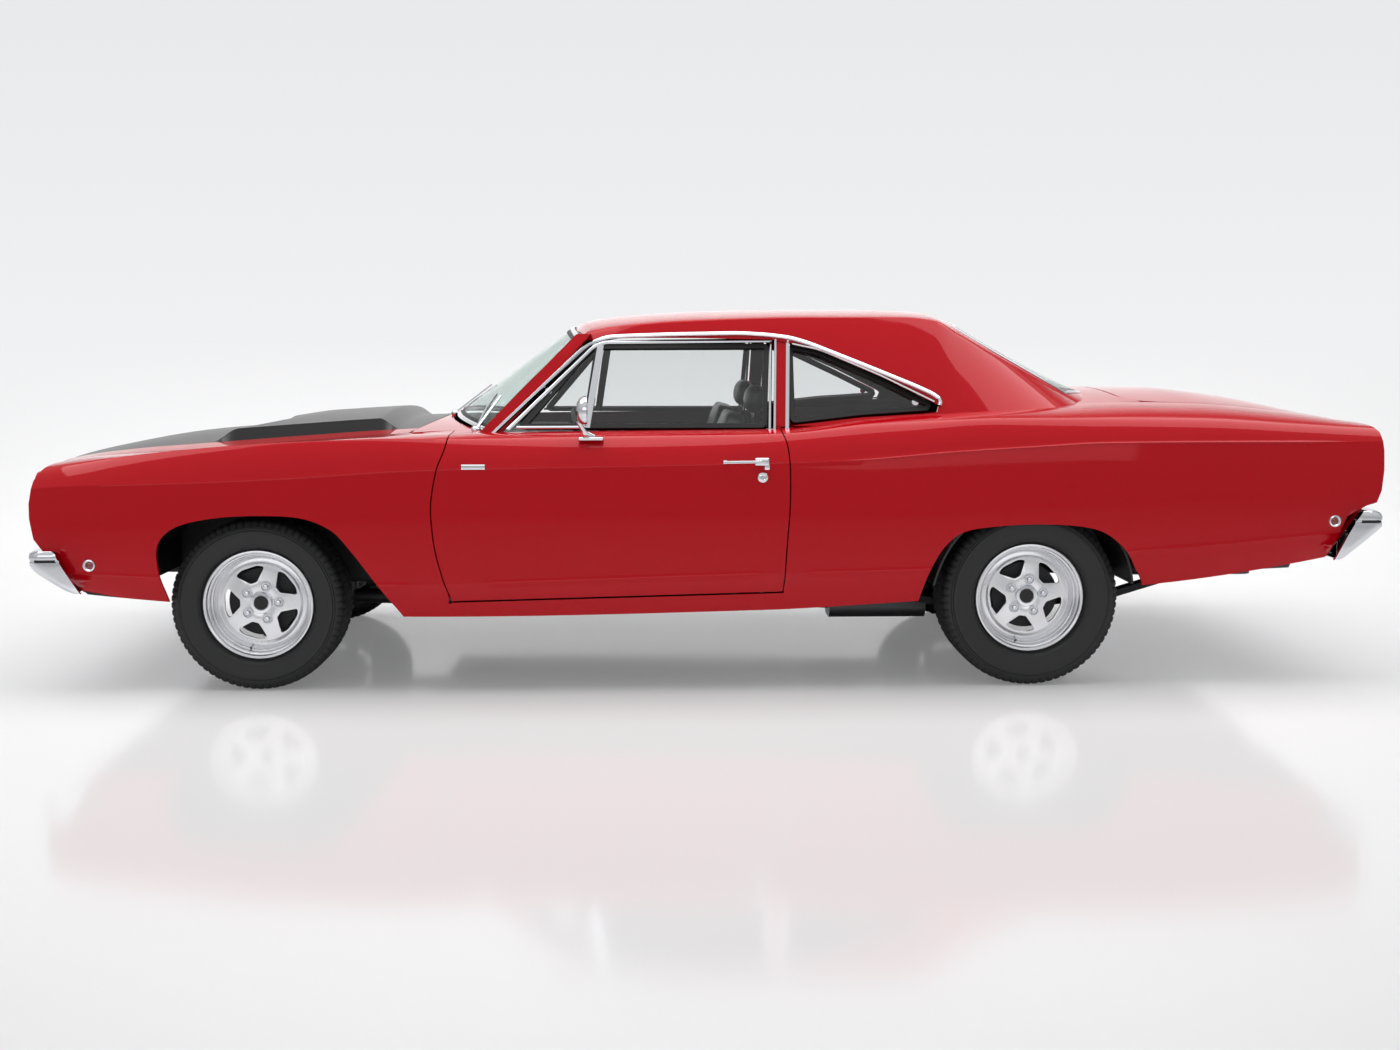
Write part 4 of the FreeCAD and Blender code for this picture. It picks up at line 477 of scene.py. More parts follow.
WINDOW = [(-560, 940), (-520, 990), (-228, 1325), (-150, 1335), (211, 1333), (483, 1328),
          (677, 1293), (913, 1192), (1120, 1078), (1112, 1052), (1060, 1046), (826, 1033),
          (560, 1003), (540, 940)]
SCREEN_BASE = (758.0, -604.0, 984.0, -786.0, 1022.0)
SCREEN_TOP = (588.0, -262.0, 1336.0, -306.0, 1376.0)
# Half of the gap along a shut line, the thickness of the side skins and a plane beyond them
SHUT = 2.5
SKIN = 14.0
OUTSIDE = -1100


def body_row(x, inset, counts):
    """Half section of the lower body at x as (half width, height) points, bottom to centre."""
    width = smooth(HALF_WIDTH, x)
    bottom = (width - 46 - inset, smooth(BOTTOM_Z, x))
    lower = (width - 5 - inset, smooth(LOWER_Z, x))
    upper = (width - smooth(CREASE_IN, x) - inset, smooth(UPPER_Z, x) - 0.2 * inset)
    shoulder = (width - smooth(SHOULDER_IN, x) - 0.75 * inset, smooth(SHOULDER_Z, x) - 0.7 * inset)
    edge = (smooth(EDGE_Y, x), smooth(EDGE_Z, x) - inset)
    centre = (0.0, smooth(CENTRE_Z, x) - inset)
    bulge = ((width - inset - (lower[0] + upper[0]) / 2) / 0.75, 0)
    rise, crown = edge[1] - shoulder[1], centre[1] - edge[1]
    strips = [
        (bottom, mixed(bottom, lower, 1 / 3, (7, 0)), mixed(bottom, lower, 2 / 3, (8, 0)), lower),
        (lower, mixed(lower, upper, 1 / 3, bulge), mixed(lower, upper, 2 / 3, bulge), upper),
        (upper, mixed(upper, shoulder, 1 / 3, (5, 3)), mixed(upper, shoulder, 2 / 3, (9, 6)),
         shoulder),
        (shoulder, mixed(shoulder, edge, 0.2, (0, 0.3 * rise + 4)),
         mixed(shoulder, edge, 0.6, (0, 0.25 * rise + 2)), edge),
        (edge, mixed(edge, centre, 0.33, (0, 0.3 * crown)), (0.35 * edge[0], centre[1]), centre)]
    points = strip_points(strips, counts)
    if len(counts) > 2 and counts[1] > 2:
        points = creased(points, counts[0] + counts[1], smooth(CREASE_LIFT, x))
        points = creased(points, counts[0], smooth(SILL_CREASE_LIFT, x))
    return points


def creased(points, index, lift):
    """The same section with one point drawn out into a narrow pressed line."""
    middle = Vector(points[index])
    before, after = (middle.lerp(Vector(points[k]), 4.5 / (Vector(points[k]) - middle).length)
                     for k in (index - 1, index + 1))
    return (points[:index] + [tuple(before), (middle.x + lift, middle.y), tuple(after)]
            + points[index + 1:])


def strip_points(strips, counts):
    points = [strips[0][0]]
    for poles, count in zip(strips, counts):
        points += [cubic(poles, i / count) for i in range(1, count + 1)]
    return points


def roof_row(x, inset):
    """Half section of the greenhouse at x, from its base to the centre line."""
    base = (smooth(BELT_Y, x) + 8 - inset, 900.0)
    belt = (smooth(BELT_Y, x) - inset, smooth(BELT_Z, x))
    edge = (smooth(ROOF_EDGE_Y, x) - 0.6 * inset, smooth(ROOF_EDGE_Z, x) - 0.8 * inset)
    centre = (0.0, smooth(ROOF_CENTRE_Z, x) - inset)
    crown = centre[1] - edge[1]
    lean = edge[0] - belt[0]
    strips = [
        (base, mixed(base, belt, 1 / 3), mixed(base, belt, 2 / 3), belt), side_poles(belt, edge),
        (edge, (edge[0] + 0.18 * lean, edge[1] + 0.42 * crown), (0.5 * edge[0], centre[1]), centre)]
    return strip_points(strips, (3, 22, 24))


def height_at(row, y):
    """Height at which a half section passes the half width y."""
    (y0, z0), (y1, z1) = next((a, b) for a, b in zip(row, row[1:]) if b[0] <= y + 1e-6)
    return z0 + (z1 - z0) * (y0 - y) / (y0 - y1)


def full_row(x, half):
    """Both halves of a section, left to right."""
    return [(x, -y, z) for y, z in half] + [(x, y, z) for y, z in half[-2::-1]]


def closed_grid(outer, inner):
    """Closed solid between two grids of points in millimetres."""
    bm = bmesh.new()
    layers = [[[bm.verts.new(at(*p)) for p in row] for row in grid] for grid in (outer, inner)]
    rows, columns = len(outer), len(outer[0])
    for layer, flip in zip(layers, (False, True)):
        for i in range(rows - 1):
            for j in range(columns - 1):
                quad = [layer[i][j], layer[i + 1][j], layer[i + 1][j + 1], layer[i][j + 1]]
                bm.faces.new(quad[::-1] if flip else quad)
    rim = ([(i, 0) for i in range(rows)] + [(rows - 1, j) for j in range(1, columns)]
           + [(i, columns - 1) for i in range(rows - 2, -1, -1)]
           + [(0, j) for j in range(columns - 2, 0, -1)])
    for a, b in zip(rim, rim[1:] + rim[:1]):
        bm.faces.new([layers[0][b[0]][b[1]], layers[0][a[0]][a[1]], layers[1][a[0]][a[1]],
                      layers[1][b[0]][b[1]]])
    return bm


def span(x0, x1, step):
    count = max(1, round((x1 - x0) / step))
    return [x0 + (x1 - x0) * i / count for i in range(count + 1)]


def fan(count):
    """Even steps from -1 to 1, count of them on either side of 0."""
    return [i / count - 1 for i in range(2 * count + 1)]


def body_shell(x0, x1, counts, flat=None):
    """Closed skin of the left body side; flat puts its back on a plane at that half width."""
    outer = []
    inner = []
    for x in span(x0, x1, 14.0):
        outer.append([(x, -y, z) for y, z in body_row(x, 0.0, counts)])
        if flat:
            inner.append([(x, -flat, z) for _, _, z in outer[-1]])
        else:
            inner.append([(x, -y, z) for y, z in body_row(x, SKIN, counts)])
    return closed_grid(outer, inner)


def prism(outline, low, high, axis="y"):
    """Closed prism of a closed outline: (x, z) points along Y, (x, y) along Z, (y, z) along X."""
    order = {"x": (2, 0, 1), "y": (0, 2, 1), "z": (0, 1, 2)}[axis]
    bm = bmesh.new()
    capped(bm, [[bm.verts.new(at(*[(a, b, value)[k] for k in order])) for a, b in outline]
                for value in (low, high)])
    return bm


def curve(points, steps=8):
    """Smooth open line through points."""
    ends = [points[0]] + list(points) + [points[-1]]
    result = []
    for a, b, c, d in zip(ends, ends[1:], ends[2:], ends[3:]):
        for i in range(steps):
            t = i / steps
            result.append(tuple(0.5 * ((2 * b[k]) + (c[k] - a[k]) * t
                                       + (2 * a[k] - 5 * b[k] + 4 * c[k] - d[k]) * t * t
                                       + (3 * b[k] - a[k] - 3 * c[k] + d[k]) * t ** 3)
                                for k in (0, 1)))
    result.append(tuple(points[-1]))
    return result


def shifted(line, by):
    return [(x + by, z) for x, z in line]


def plan_box(x0, x1, y0, y1, z0, z1):
    return prism([(x0, y0), (x1, y0), (x1, y1), (x0, y1)], z0, z1, "z")


def stud(bm, radius, depth, tilt, place):
    """Short round bar in metres, turned about X by degrees and moved to its place."""
    turn = Matrix.Translation(place) @ Matrix.Rotation(math.radians(tilt), 4, "X")
    bmesh.ops.create_cone(bm, cap_ends=True, segments=28, radius1=radius, radius2=radius,
                          depth=depth, matrix=turn)


def moved(rings, by):
    for ring in rings:
        for vert in ring:
            vert.co += by


def tint(bm, index):
    """Gives every face the material of that number."""
    for face in bm.faces:
        face.material_index = index


def join_mesh(bm, extra):
    """Moves all of one bmesh into another."""
    mesh = bpy.data.meshes.new("extra")
    extra.to_mesh(mesh)
    extra.free()
    bm.from_mesh(mesh)
    bpy.data.meshes.remove(mesh)


def carved(bm, tools, bevel=0.0):
    """The mesh of bm after each (operation, tool mesh), its sharp edges rounded if asked."""
    objects = [placed(bm, "carved")]
    for operation, tool in tools:
        objects.append(placed(tool, "tool"))
        step = objects[0].modifiers.new("step", "BOOLEAN")
        step.operation = operation
        step.solver = "EXACT"
        step.object = objects[-1]
    if bevel:
        edge = objects[0].modifiers.new("edge", "BEVEL")
        edge.width = bevel / 1000
        edge.segments = 3
        edge.limit_method = "ANGLE"
        edge.angle_limit = math.radians(40)
    graph = bpy.context.evaluated_depsgraph_get()
    result = bmesh.new()
    result.from_object(objects[0], graph)
    for obj in objects:
        mesh = obj.data
        bpy.data.objects.remove(obj)
        bpy.data.meshes.remove(mesh)
    return result


# Wheels
LUG_CIRCLE = 65.0
STAR_DEPTH = 62


def lug_places(turn):
    """Centres of the five lug nuts, in metres from the middle of the wheel."""
    angles = [math.radians(turn + 36 + 72 * i) for i in range(5)]
    return [Vector((math.sin(a), 0, math.cos(a))) * (LUG_CIRCLE / 1000) for a in angles]


def wheel_window(bm, face, angle):
    """Cutter for one window of the star, between two spokes."""
    corners = [(13, 80), (59, 126), (33, 140), (-33, 140), (-59, 126), (-13, 80)]
    path = rounded([(0, 80)] + corners + [(0, 80)], 13)[:-1]
    c, s = math.cos(angle) / 1000, math.sin(angle) / 1000
    capped(bm, [[bm.verts.new((a * c + r * s, y / 1000, r * c - a * s)) for a, r in path]
                for y in (face - 60, face + 60)])


def make_star(half, turn):
    """Five-spoke centre with its windows cut, the outer face towards -Y."""
    face = STAR_DEPTH - half
    profile = [(176, face - 10), (160, face - 14), (152, face - 6), (148, face - 3),
               (120, face - 6), (88, face - 11), (70, face - 14), (50, face - 14), (46, face - 12),
               (0.01, face - 12), (0.01, face + 14), (100, face + 8), (176, face + 3)]
    star = bmesh.new()
    lathe(star, profile, 120)
    cutter = bmesh.new()
    for i in range(5):
        wheel_window(cutter, face, math.radians(turn + 72 * i))
    for place in lug_places(turn):
        stud(cutter, 0.0165, 0.03, 90, place + Vector((0, (face - 22) / 1000, 0)))
    return carved(star, [("DIFFERENCE", cutter)], 2.5), face


def make_rim(half, turn):
    """Star, barrel, lug nuts in their seat rings, centre cap and valve."""
    rim, face = make_star(half, turn)
    barrel = [(208, 9 - half), (208.5, 3 - half), (206.5, -half), (202, -half - 1),
              (198, 1 - half), (196, 5 - half), (193.5, 12 - half), (192.5, 20 - half),
              (189, 21.5 - half), (186.5, 25 - half), (185, 36 - half), (181, 38 - half),
              (179, 41 - half), (175, face - 12), (174, face + 14), (183, half - 16),
              (200, half - 2), (208, half), (208, half - 8), (190, half - 14), (190, 14 - half)]
    lathe(rim, barrel, 120)
    seat = [(22, -6), (22, -13), (20.5, -15.5), (18, -15.5), (16.2, -13), (16.2, -6)]
    nut = [(10.5, -4), (10.5, -19), (8, -24), (4.5, -25), (4, -21), (0.01, -21), (0.01, -4)]
    bright = bmesh.new()
    for place in lug_places(turn):
        for profile in (seat, nut):
            moved(lathe(bright, [(r, face + y) for r, y in profile], 20), place)
    tint(bright, 1)
    cap = bmesh.new()
    lathe(cap, [(42, face - 8), (42, face - 16), (40, face - 20), (30, face - 21), (27, face - 19),
                (26, face - 17), (0.01, face - 17), (0.01, face - 8)], 64)
    for face in cap.faces:
        reach = max(math.hypot(vert.co.x, vert.co.z) for vert in face.verts)
        face.material_index = 2 if reach < 0.0265 else 1
    valve = bmesh.new()
    angle = math.radians(194)
    moved(lathe(valve, [(0.01, -9), (3.2, -9), (3.6, 0), (0.01, 0)], 12),
          Vector((0.17 * math.sin(angle), (40 - half) / 1000, 0.176 * math.cos(angle))))
    tint(valve, 2)
    for extra in (bright, cap, valve):
        join_mesh(rim, extra)
    return rim


def make_tyre(radius, width, rim_half):
    """Sidewall ribs, shoulder blocks and grooved tread, as one turned skin."""
    half = width / 2
    bead = rim_half - 9
    side = [(190.5, bead - 8), (196, bead), (209, bead + 1), (213, bead + 3), (220, half - 15),
            (228, half - 9), (231, half - 8), (233, half - 8.6), (236, half - 8.2),
            (radius - 60, half - 1), (radius - 48, half), (radius - 43, half - 0.2),
            (radius - 41.5, half - 2.2), (radius - 39.5, half - 0.7), (radius - 35, half - 1.2),
            (radius - 33.5, half - 3.4), (radius - 31, half - 2.4), (radius - 26, half - 5)]
    shoulder = [(radius - 20, half - 7), (radius - 12, half - 11), (radius - 7, half - 16),
                (radius - 3.5, half - 24), (radius - 1.5, half - 34)]
    grooves = []
    edge = half - 36
    rib = (2 * edge) / 7
    for i in range(7):
        y = edge - i * rib
        crown = 1.5 * (y / half) ** 2
        grooves += [(radius - crown, y), (radius - crown, y - rib + 7)]
        if i < 6:
            grooves += [(radius - 8, y - rib + 6), (radius - 8, y - rib + 1)]
    profile = side + shoulder + grooves + [(r, -y) for r, y in reversed(shoulder)]
    tread = range(len(side), len(profile))
    profile += [(r, -y) for r, y in reversed(side)]
    bm = bmesh.new()
    for i, ring in enumerate(lathe(bm, profile, 288)):
        for j in tread:
            level, y = profile[j]
            outer = abs(y) > edge - rib
            notch = (i + (0 if y > 0 else 2)) % 4 == 0 if outer else (i + int(abs(y))) % 6 == 0
            if notch and (outer or level > radius - 9):
                vert = ring[j]
                reach = math.hypot(vert.co.x, vert.co.z)
                factor = (reach - (0.0045 if outer else 0.0028)) / reach
                vert.co.x *= factor
                vert.co.z *= factor
                if level < radius - 5:
                    vert.co.y -= math.copysign(0.0022, y)
    # Tread and shoulder faces take the second material, the tread rubber painted lighter against
    # the shade
    for face in bm.faces:
        reach = sum(math.hypot(vert.co.x, vert.co.z) for vert in face.verts) / 4
        face.material_index = 1 if reach > (radius - 22) / 1000 else 0
    return bm


def place_wheels():
    layout = (("front", FRONT_AXLE, 93.0, 240.0, -19.0), ("rear", REAR_AXLE, 103.0, 260.0, -27.0))
    for end, (x, y, z), half, width, turn in layout:
        bodies = ["%s_%s_wheel" % (end, side) for side in SIDES]
        for kind, source, looks, slot in (
                ("rim", make_rim(half, turn), [ALUMINIUM, CHROME, SEAL], "polished_aluminium"),
                ("tyre", make_tyre(z, width, half), [RUBBER, TREAD_PAINTED_LIGHTER], "tyre_rubber")):
            bmesh.ops.translate(source, vec=at(x, -y, z), verts=source.verts)
            made = pair("%s %s" % (kind, end), source, looks, bodies, 35.0)
            replace_pair(made, "%s_%s" % (kind, end))


place_wheels()

# Painted panels, as dense skins so that reflections run smoothly over them
SIDE_ROWS = (5, 22, 9, 9, 7)
LID_ROWS = (2, 2, 2, 4, 24)
LID_SKIN = 16.0
ROOF_SKIN = 18.0
DOOR_HINGE = (-700.0, -900.0)
DOOR_SWING = math.radians(65.0)
# Upper and lower edge of the rear window: x at the corners, bow of the middle, half width
REAR_TOP = (1232, 26, 528)
REAR_LOW = (1664, 178, 578)


def body_pair(name, source, bodies):
    return pair(name, source, PAINT, bodies, 32.0)


def body_piece(name, source, look, body, node, sharp=32.0):
    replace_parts(piece(name, source, look, body, sharp), node)


def bowed(x, bow, half, count=8):
    """Line across the car in plan, its middle pushed along the car by bow."""
    return [(x + bow * (1 - t * t), t * half) for t in fan(count)]


def other_side(outline):
    return [(x, -y) for x, y in outline]


def whole_shell(x0, x1, step, skin, half_row):
    """Closed skin across the car; half_row gives the half section at x and an inset."""
    return closed_grid(*[[full_row(x, half_row(x, inset)) for x in span(x0, x1, step)]
                         for inset in (0.0, skin)])


def make_fenders():
    shell = body_shell(-2336, -680, SIDE_ROWS)
    rear = curve(shifted(DOOR_FRONT, -2 * SHUT))
    zone = prism(rear + [(-2400, 1100), (-2400, 200)], OUTSIDE, -699)
    nose = prism(NOSE + [(0, 200), (0, 1500)], OUTSIDE, -600)
    arch = prism(curve(FRONT_ARCH) + [(-900, 150), (-1780, 150)], OUTSIDE, -600)
    tools = [("INTERSECT", zone), ("INTERSECT", nose), ("DIFFERENCE", arch)]
    # The lower rear edge is bevelled along the face of the door at its full opening
    across = Vector((math.sin(DOOR_SWING), math.cos(DOOR_SWING)))
    along = Vector((across.y, -across.x)) * 120
    for low, high, reach in ((345, 372, 57), (372, 400, 62)):
        foot = Vector(DOOR_HINGE) - across * reach
        corners = [foot + along, foot - along, foot - along + across * 70,
                   foot + along + across * 70]
        tools.append(("DIFFERENCE", prism(corners, low, high, "z")))
    replace_pair(body_pair("fender skin", carved(shell, tools), FIXED), "fender")


def make_door_skins():
    solid = body_shell(-820, 560, SIDE_ROWS[:4], 700.0)
    front = [p for p in curve(DOOR_FRONT) if p[1] > 358]
    rear = [p for p in curve(shifted(DOOR_REAR, -SHUT)) if p[1] > 389]
    outline = [(front[0][0] + 1, 355)] + front + rear[::-1] + [(rear[0][0], 386)]
    room = prism([(-878, 0), (-878, 870), (-802, 930), (-802, 1300), (0, 1300), (0, 0)],
                 -1000, 700, "x")
    door = carved(solid, [("INTERSECT", prism(outline, OUTSIDE, -700)), ("DIFFERENCE", room)])
    replace_pair(body_pair("door skin", door, DOORS), "door")


def make_rocker_skins():
    solid = body_shell(-740, 540, (5, 6), 716.0)
    front = [p for p in curve(shifted(DOOR_FRONT, -4.7)) if p[1] < 345]
    outline = front + [(-730, 348), (518, 379), (518, 200)]
    rocker = carved(solid, [("INTERSECT", prism(outline, OUTSIDE, -700))])
    for made in body_pair("rocker skin", rocker, FIXED):
        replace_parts(made, "rockers")


def make_quarters():
    shell = body_shell(480, 2846, SIDE_ROWS)
    zone = prism(curve(shifted(DOOR_REAR, SHUT)) + [(2900, 1100), (2900, 200)], OUTSIDE, -633)
    tail = prism(TAIL + [(-700, 1500), (-700, 200)], OUTSIDE, -600)
    arch = prism(curve(REAR_ARCH) + [(1900, 150), (1050, 150)], OUTSIDE, -600)
    quarter = carved(shell, [("INTERSECT", zone), ("INTERSECT", tail), ("DIFFERENCE", arch)])
    replace_pair(body_pair("quarter skin", quarter, FIXED), "quarter")


def screen_row(t):
    """Half width, corner and middle of the windshield at the share t of its height."""
    return [a + (b - a) * t for a, b in zip(SCREEN_BASE, SCREEN_TOP)]


def screen_point(t, s, back, reach=0.0):
    """Point on the windshield: t up, s across, pushed back along its own depth."""
    half, end_x, end_z, mid_x, mid_z = screen_row(t)
    swell = 40.0 * t * (1 - t) if 0 <= t <= 1 else 0.0
    base = Vector((end_x - swell, 0, end_z))
    depth = Vector((mid_x - swell, 0, mid_z)) - base
    sag = depth.length
    radius = (half * half + sag * sag) / (2 * sag)
    y = s * (half + reach)
    inside = max(radius * radius - min(abs(y), half) ** 2, 0.0)
    bow = math.sqrt(inside) - (radius - sag)
    return base + depth.normalized() * (bow - back) + Vector((0, y, 0))


def make_greenhouse():
    """Roof and both sail panels in one skin, cut for the windows, windshield and rear window."""
    shell = whole_shell(-398, 1800, 13.0, ROOF_SKIN, roof_row)
    levels = [-0.3, 0.0, 0.25, 0.5, 0.75, 1.0, 1.4]
    screen = closed_grid(*[[[tuple(screen_point(t, s, back, 160)) for s in fan(8)] for t in levels]
                           for back in (10.3, -600)])
    rear = prism(bowed(*REAR_TOP) + other_side(bowed(*REAR_LOW)), 950, 1500, "z")
    cuts = [prism(WINDOW, -1000, 1000), screen, rear, plan_box(-500, 2000, -900, 900, 700, 1002),
            plan_box(-500, 500, -900, 900, 980, 1250)]
    roof = carved(shell, [("DIFFERENCE", cut) for cut in cuts])
    body_piece("roof skin", roof, PAINT, "root", "roof")


def top_row(x, inset):
    """Half section of the top of the body at x, from the shoulder to the centre."""
    return body_row(x, inset, LID_ROWS)[10:]


def make_lid():
    shell = whole_shell(1890, 2780, 14.0, LID_SKIN, top_row)
    side = [(1902, 438), (1905, 500), (1925, 560), (1962, 603), (2020, 624), (2092, 628),
            (2752, 628)]
    side = [(x + SHUT if x < 2000 else x, y) for x, y in side]
    lid = carved(shell, [("INTERSECT", prism(side + other_side(side[::-1]), 850, 1300, "z"))])
    body_piece("lid skin", lid, PAINT, "trunk_cover", "trunk_lid")


# Hood bulge: height, half widths at its foot and top, start, end and the half widths sampled
BULGE_HEIGHT = 44.0
BULGE_FOOT = 567
BULGE_TOP = 546
BULGE_START = -1705
BULGE_END = -970
HOOD_COLUMNS = [712, 690, 650, 610, 585, 572, 567, 556, 546, 540] + list(range(510, -1, -30))


def eased(t):
    t = min(1.0, max(0.0, t))
    return t * t * (3 - 2 * t)


def hood_rise(x, y):
    """Height of the hood bulge: steep flanks, a long ramp in the middle, a short fall behind."""
    share = min(1.0, y / BULGE_TOP)
    flank = min(1.0, max(0.0, (BULGE_FOOT - y) / (BULGE_FOOT - BULGE_TOP)))
    ramp = eased((x - BULGE_START) / (385 - 280 * share * share))
    return BULGE_HEIGHT * flank * min(ramp, eased((BULGE_END - x) / 80))


def hood_row(x, inset):
    row = top_row(x, inset)
    return [(y, height_at(row, y) + hood_rise(x, y)) for y in HOOD_COLUMNS]


def make_hood():
    shell = whole_shell(-2290, -830, 12.0, LID_SKIN, hood_row)
    outline = bowed(-2222, -34, 694) + bowed(-916, 69, -694)
    hood = carved(shell, [("INTERSECT", prism(outline, 500, 1300, "z"))])
    body_piece("hood skin", hood, HOOD_PAINT, "engine_hood", "hood", 28.0)


make_hood()
make_fenders()
make_door_skins()
make_rocker_skins()
make_quarters()
make_greenhouse()
make_lid()

# Glass, frames and bright trim of the greenhouse
RAIL = [(-200, 1330), (-129, 1340), (0, 1345), (128, 1349), (367, 1353), (480, 1346), (563, 1335),
        (635, 1313), (829, 1236), (1030, 1154), (1100, 1122), (1124, 1104), (1126, 1090),
        (1120, 1076)]
QUARTER_RIM = [(566, 1312), (672, 1290), (908, 1189), (1104, 1092)]
PILLAR_LINE = ((-592, -795, 962), (-210, -662, 1324))
FRAME_LINE = [(-524, 986), (-200, 1301), (-160, 1316), (489, 1323)]
# Flat plane of the side windows: half width at a height, its slope and its outward direction
PANE_Y = 821.1
PANE_Z = 985
PANE_SLOPE = 0.4463
PANE_OUT = Vector((0.0, -0.913, 0.408))
PANE_THICKNESS = 5.0
LEFT = Vector((0, -1, 0))
FORWARD = Vector((-1, 0, 0))


def strip(name, points, outward, width, height, bodies):
    """Bright moulding on both sides of the car."""
    bm = bmesh.new()
    sweep(bm, points, outward, moulding(width, height))
    pair(name, bm, CHROME, bodies)


def pane_y(z, inward):
    """Half width of the plane of the side windows at height z."""
    return PANE_Y - PANE_SLOPE * (z - PANE_Z) - inward


def on_pane(outline, inward):
    return [Vector((x, -pane_y(z, inward), z)) for x, z in outline]


def rail_path():
    """Drip rail up the windshield pillar, along the roof and down behind the window."""
    lead = resampled([Vector(p) + Vector((2, 0, 0)) + PANE_OUT * 2 for p in PILLAR_LINE])[:-1]
    points, normals = side_path(rounded(RAIL, 30.0))
    points, normals = lead + points, [PANE_OUT] * len(lead) + normals
    turn = range(1, len(lead) + 4)
    for _ in range(3):
        for row in (points, normals):
            row[1:len(lead) + 4] = [(row[i - 1] + row[i] * 2 + row[i + 1]) / 4 for i in turn]
    return points, normals


def make_pane(name, outline, inward, bodies):
    bm = bmesh.new()
    capped(bm, [[bm.verts.new(at(*p)) for p in on_pane(outline, depth)]
                for depth in (inward, inward + PANE_THICKNESS)])
    return pair(name, bm, CLEAR, bodies)


def gasket(name, outline, inward, width, depth, bodies, closed=True, look=SEAL):
    """Rubber or bright channel of rectangular section round a window outline."""
    path = rounded(outline + outline[:2], 16.0)[1:-1] if closed else rounded(outline, 16.0)
    half = width / 2
    bm = bmesh.new()
    sweep(bm, on_pane(path, inward), PANE_OUT,
          [(-half, -depth), (-half, -1.5), (1.5 - half, 0), (half - 1.5, 0), (half, -1.5),
           (half, -depth)], closed)
    pair(name, bm, look, bodies)


def screen_normal(t, s):
    half, end_x, _, mid_x, _ = screen_row(t)
    sag = math.hypot(mid_x - end_x, 40)
    radius = (half * half + sag * sag) / (2 * sag)
    turn = math.asin(max(-1.0, min(1.0, s * half / radius)))
    return Vector((-0.594 * math.cos(turn), math.sin(turn), 0.805 * math.cos(turn))).normalized()


def round_edge(count):
    """Steps (t, s) round a window: t runs from 0 to 1 and back, s from -1 to 1 and back."""
    climb = [i / count for i in range(1, count)]
    return ([(0.0, s) for s in fan(count)] + [(t, 1.0) for t in climb]
            + [(1.0, -s) for s in fan(count)] + [(1 - t, -1.0) for t in climb])


def surround(name, points, outward, profile, look):
    """Closed moulding round a window in the middle of the car."""
    bm = bmesh.new()
    sweep(bm, points, outward, profile, True)
    piece(name, bm, look, "root")


def make_screen_trim():
    loop = round_edge(24)
    normals = [screen_normal(t, s) for t, s in loop]
    edge = [screen_point(t, s, -1.0) for t, s in loop]
    inner = [screen_point(0.035 + 0.93 * t, s * 0.972, -1.0) for t, s in loop]
    surround("windshield surround", edge, normals, moulding(17, 7), CHROME)
    surround("windshield gasket", inner, normals, moulding(16, 2.5), SEAL)


def make_wipers():
    for index, (s0, s1) in enumerate(((-0.93, -0.38), (-0.02, 0.52))):
        bm = bmesh.new()
        pivot, tip = screen_point(-0.03, s0, -16.0), screen_point(0.30, s0 + 0.10, -16.0)
        lean = screen_normal(0.02, s0)
        sweep(bm, resampled([pivot, tip]), lean,
              [(-7, -2), (-7, 2), (-3, 5), (3, 5), (7, 2), (7, -2)])
        blade = [screen_point(0.03 + 0.27 * i / 12, s0 + (s1 - s0) * i / 12 * 0.35 + 0.05, -9.0)
                 for i in range(13)]
        sweep(bm, blade, lean, [(-4, -5), (-5, 3), (5, 3), (4, -5)])
        bmesh.ops.create_uvsphere(bm, u_segments=20, v_segments=12, radius=0.016,
                                  matrix=Matrix.Translation(at(*pivot)))
        piece("wiper %d" % index, bm, CHROME, "root")


def make_side_windows():
    strip("drip rail", *rail_path(), 15.0, 13.0, FIXED)
    strip("quarter window strip", *side_path(rounded(QUARTER_RIM, 30.0)), 9.0, 5.0, FIXED)
    strip("door window frame", on_pane(rounded(FRAME_LINE, 30.0), 17), PANE_OUT, 14.0, 7.0, DOORS)
    strip("door window rear strip", resampled(on_pane([(472, 988), (486, 1318)], 17)), PANE_OUT,
          10.0, 7.0, DOORS)
    gasket("door window gasket",
           [(-466, 1002), (-222, 1284), (-194, 1302), (470, 1304), (452, 1002)], 20, 20, 18, DOORS)
    gasket("vent divider", [(-226, 996), (-174, 1308)], 14, 26, 24, DOORS, False, CHROME)
    gasket("vent gasket", [(-478, 1002), (-226, 1292), (-190, 1304), (-236, 1002)], 19, 12, 14,
           DOORS)
    door = [(-470, 998), (-226, 1280), (-196, 1300), (482, 1302), (464, 998)]
    quarter = [(560, 1020), (560, 1302), (664, 1282), (898, 1174), (1088, 1082), (1078, 1066),
               (826, 1050)]
    replace_pair(make_pane("door pane", door, 30, DOORS), "door_glass")
    gasket("quarter window gasket", quarter, 14, 20, 26, FIXED)
    make_pane("quarter pane", quarter, 24, FIXED)
    for name, shift, width in (("front", -24, 9.0), ("rear", 24, 14.0)):
        post = resampled([(513 + shift, -819, 966), (526 + shift, -677, 1328)])
        strip("centre pillar strip " + name, post, PANE_OUT, width, 6.0, FIXED)
    strip("belt strip", resampled([(-490, -806, 996), (-250, -812, 997)]), LEFT, 11.0, 6.0, DOORS)
    for name, x, z, bodies in (("vent latch", -372, 1130, DOORS),
                               ("quarter latch", 1036, 1086, FIXED)):
        bm = bmesh.new()
        stud(bm, 0.013, 0.012, 66, at(x, -pane_y(z, 26), z))
        pair(name, bm, CHROME, bodies)


